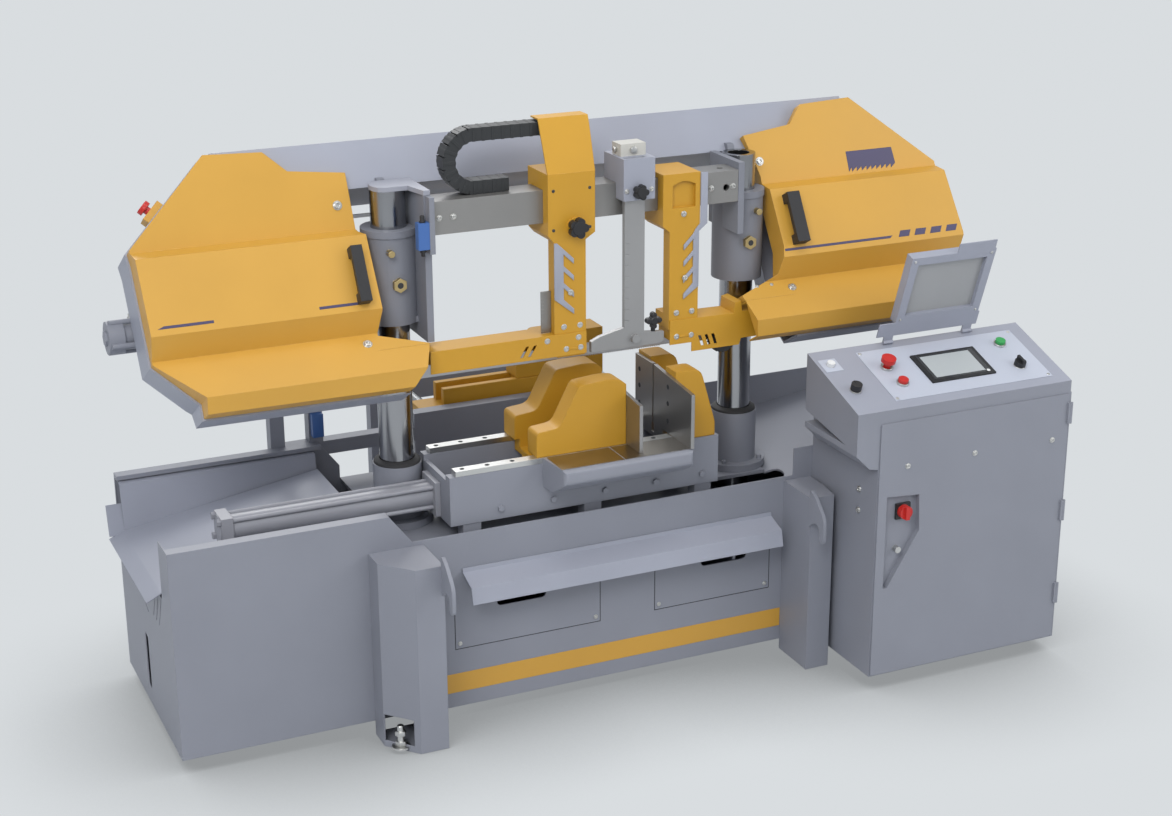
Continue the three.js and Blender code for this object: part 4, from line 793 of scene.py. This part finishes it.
# ---------------------------------------------------------------------------
# Screen: a glass front in its black frame, with a plain pale field behind it and
# one round key in the lower corner.
# ---------------------------------------------------------------------------
glass = bmesh.new()
prism(glass, "z", block((836, 1016), (86, 192)), (5.05, 5.6))
dark_glass = finish("screen_glass", (0.02, 0.022, 0.025), 0.12, wear=0, coat=0.6)
fit("screen_glass", "base", dark_glass, glass, CONSOLE, edge=0)
lit = bmesh.new()
prism(lit, "z", block((846, 1002), (93, 186)), (5.65, 5.9))
pale_field = finish("screen_field", (0.42, 0.45, 0.46), 0.3, wear=0, bump=0.01)
fit("screen_field", "base", pale_field, lit, CONSOLE, edge=0)
home = bmesh.new()
turned(home, "z", [(5.65, 5), (6.6, 5), (6.9, 4)], (1009, 90), 20)
fit("screen_key", "base", cap_white, home, CONSOLE, edge=0)

# ---------------------------------------------------------------------------
# Screen lid: a folded frame round a clear pane, hinged at the back of the desk and standing open.
# The pane is given an opaque pale grey as a painted reflection.
# ---------------------------------------------------------------------------
pane_painted_reflection = finish("pane_painted_reflection", (0.33, 0.335, 0.34), 0.35, wear=0.0, bump=0.02)
dress("console_lid", pale_paint_and_top_light, [(pane_painted_reflection, CONSOLE, (830.5, 283, 86.5), (1048.5, 288, 247.5))])
lid_spots = [((x, 272, z), FRONT) for x in (818, 1061) for z in (74, 260)]
cap_screws("lid_screws", "lid", lid_spots, 3, 2, zinc_plate, CONSOLE)

# ---------------------------------------------------------------------------
# Bar feed: a grey stand of square tube behind the machine with two chromed
# guide bars, and a yellow carriage whose left jaw grips the bar.
# ---------------------------------------------------------------------------
dress("feed_frame", grey_enamel, [
    (hard_chrome, UPRIGHT, (-270, 496, 580), (-230, 859, 620)),
    (hard_chrome, UPRIGHT, (230, 496, 580), (270, 859, 620)),
])
# Painted shade: the carriage and its jaw take the darkened copy of the yellow enamel made for the
# shaded vise jaws.
dress("feed_carriage", shaded_casting_yellow)
dress("rear_jaw_left", shaded_casting_yellow)
switch = bmesh.new()
prism(switch, "y", block((-636, -604), (622, 690)), (430, 455))
fit("feed_sensor", "base", sensor_blue, switch, edge=2)

# ---------------------------------------------------------------------------
# Studio: a pale floor and wall of one tone, the floor darkened for the camera by a painted shadow
# from ambient occlusion round the machine, a broad key from the upper left, a fill and a back
# light, and the camera in front of the machine's left half, above its beam.
# ---------------------------------------------------------------------------
scene = bpy.context.scene
scene.view_settings.view_transform = "Standard"
BACKDROP = (0.693, 0.723, 0.745)
camera_data = bpy.data.cameras.new("camera")
camera_data.lens = 61.05
camera_data.sensor_width = 36
camera_data.clip_end = 60
camera = bpy.data.objects.new("camera", camera_data)
scene.collection.objects.link(camera)
sight = radians(24.35)
dip = radians(19.3)
forward = Vector((sin(sight) * cos(dip), cos(sight) * cos(dip), -sin(dip)))
camera.matrix_world = (
    Matrix.Translation(UPRIGHT @ Vector((-2080, -4595, 2520)))
    @ forward.to_track_quat("-Z", "Y").to_matrix().to_4x4()
    @ Matrix.Rotation(radians(-0.24), 4, "Z")
)
scene.camera = camera

world = bpy.data.worlds.new("studio")
scene.world = world
world.use_nodes = True
nodes, link = world.node_tree.nodes, world.node_tree.links.new
sky = nodes["Background"]
sky.inputs["Color"].default_value = (0.93, 0.96, 1.0, 1)
sky.inputs["Strength"].default_value = 0.62
wall = nodes.new("ShaderNodeBackground")
wall.inputs["Color"].default_value = (*BACKDROP, 1)
seen = nodes.new("ShaderNodeLightPath")
choose = nodes.new("ShaderNodeMixShader")
link(seen.outputs["Is Camera Ray"], choose.inputs[0])
link(sky.outputs[0], choose.inputs[1])
link(wall.outputs[0], choose.inputs[2])
link(choose.outputs[0], nodes["World Output"].inputs[0])

floor_paint = bpy.data.materials.new("studio_floor")
floor_paint.use_nodes = True
nodes, link = floor_paint.node_tree.nodes, floor_paint.node_tree.links.new
matt = nodes["Principled BSDF"]
matt.inputs["Base Color"].default_value = (0.62, 0.64, 0.66, 1)
matt.inputs["Roughness"].default_value = 0.9
matt.inputs["Specular IOR Level"].default_value = 0.1
# Painted shadow: camera rays see the floor as an even glow of the backdrop tone, darkened by
# ambient occlusion near the machine in place of its lit shading.
painted_floor_shadow = nodes.new("ShaderNodeAmbientOcclusion")
painted_floor_shadow.samples = 16
painted_floor_shadow.inputs["Distance"].default_value = 0.55
shade = nodes.new("ShaderNodeMapRange")
shade.inputs["From Min"].default_value = 0.35
shade.inputs["From Max"].default_value = 0.98
shade.inputs["To Min"].default_value = 0.42
link(painted_floor_shadow.outputs["AO"], shade.inputs["Value"])
tone = nodes.new("ShaderNodeMix")
tone.data_type = "RGBA"
tone.inputs[6].default_value = (0, 0, 0, 1)
tone.inputs[7].default_value = (*BACKDROP, 1)
link(shade.outputs[0], tone.inputs[0])
glow = nodes.new("ShaderNodeEmission")
link(tone.outputs[2], glow.inputs["Color"])
seen = nodes.new("ShaderNodeLightPath")
choose = nodes.new("ShaderNodeMixShader")
link(seen.outputs["Is Camera Ray"], choose.inputs[0])
link(matt.outputs[0], choose.inputs[1])
link(glow.outputs[0], choose.inputs[2])
link(choose.outputs[0], nodes["Material Output"].inputs[0])
floor_mesh = bpy.data.meshes.new("studio_floor")
floor_mesh.from_pydata([(-30, -30, 0), (30, -30, 0), (30, 30, 0), (-30, 30, 0)], [], [(0, 1, 2, 3)])
floor_mesh.materials.append(floor_paint)
floor = bpy.data.objects.new("studio_floor", floor_mesh)
floor.location.z = -0.001
scene.collection.objects.link(floor)

for name, place, target, size, power in (
    ("key", (-3.2, -4.2, 5.0), (0, 0, 0.8), 3.0, 190),
    ("fill", (4.5, -4.0, 3.0), (0.3, 0, 0.8), 3.5, 80),
    ("back", (0.5, 4.5, 4.5), (0, 0, 0.9), 3.0, 120),
    ("top", (0.3, -1.4, 5.5), (0, 0, 0.6), 3.0, 60),
):
    data = bpy.data.lights.new(name, "AREA")
    data.shape = "DISK"
    data.size = size
    data.energy = power
    lamp = bpy.data.objects.new(name, data)
    lamp.location = place
    lamp.rotation_euler = (Vector(target) - Vector(place)).to_track_quat("-Z", "Y").to_euler()
    scene.collection.objects.link(lamp)
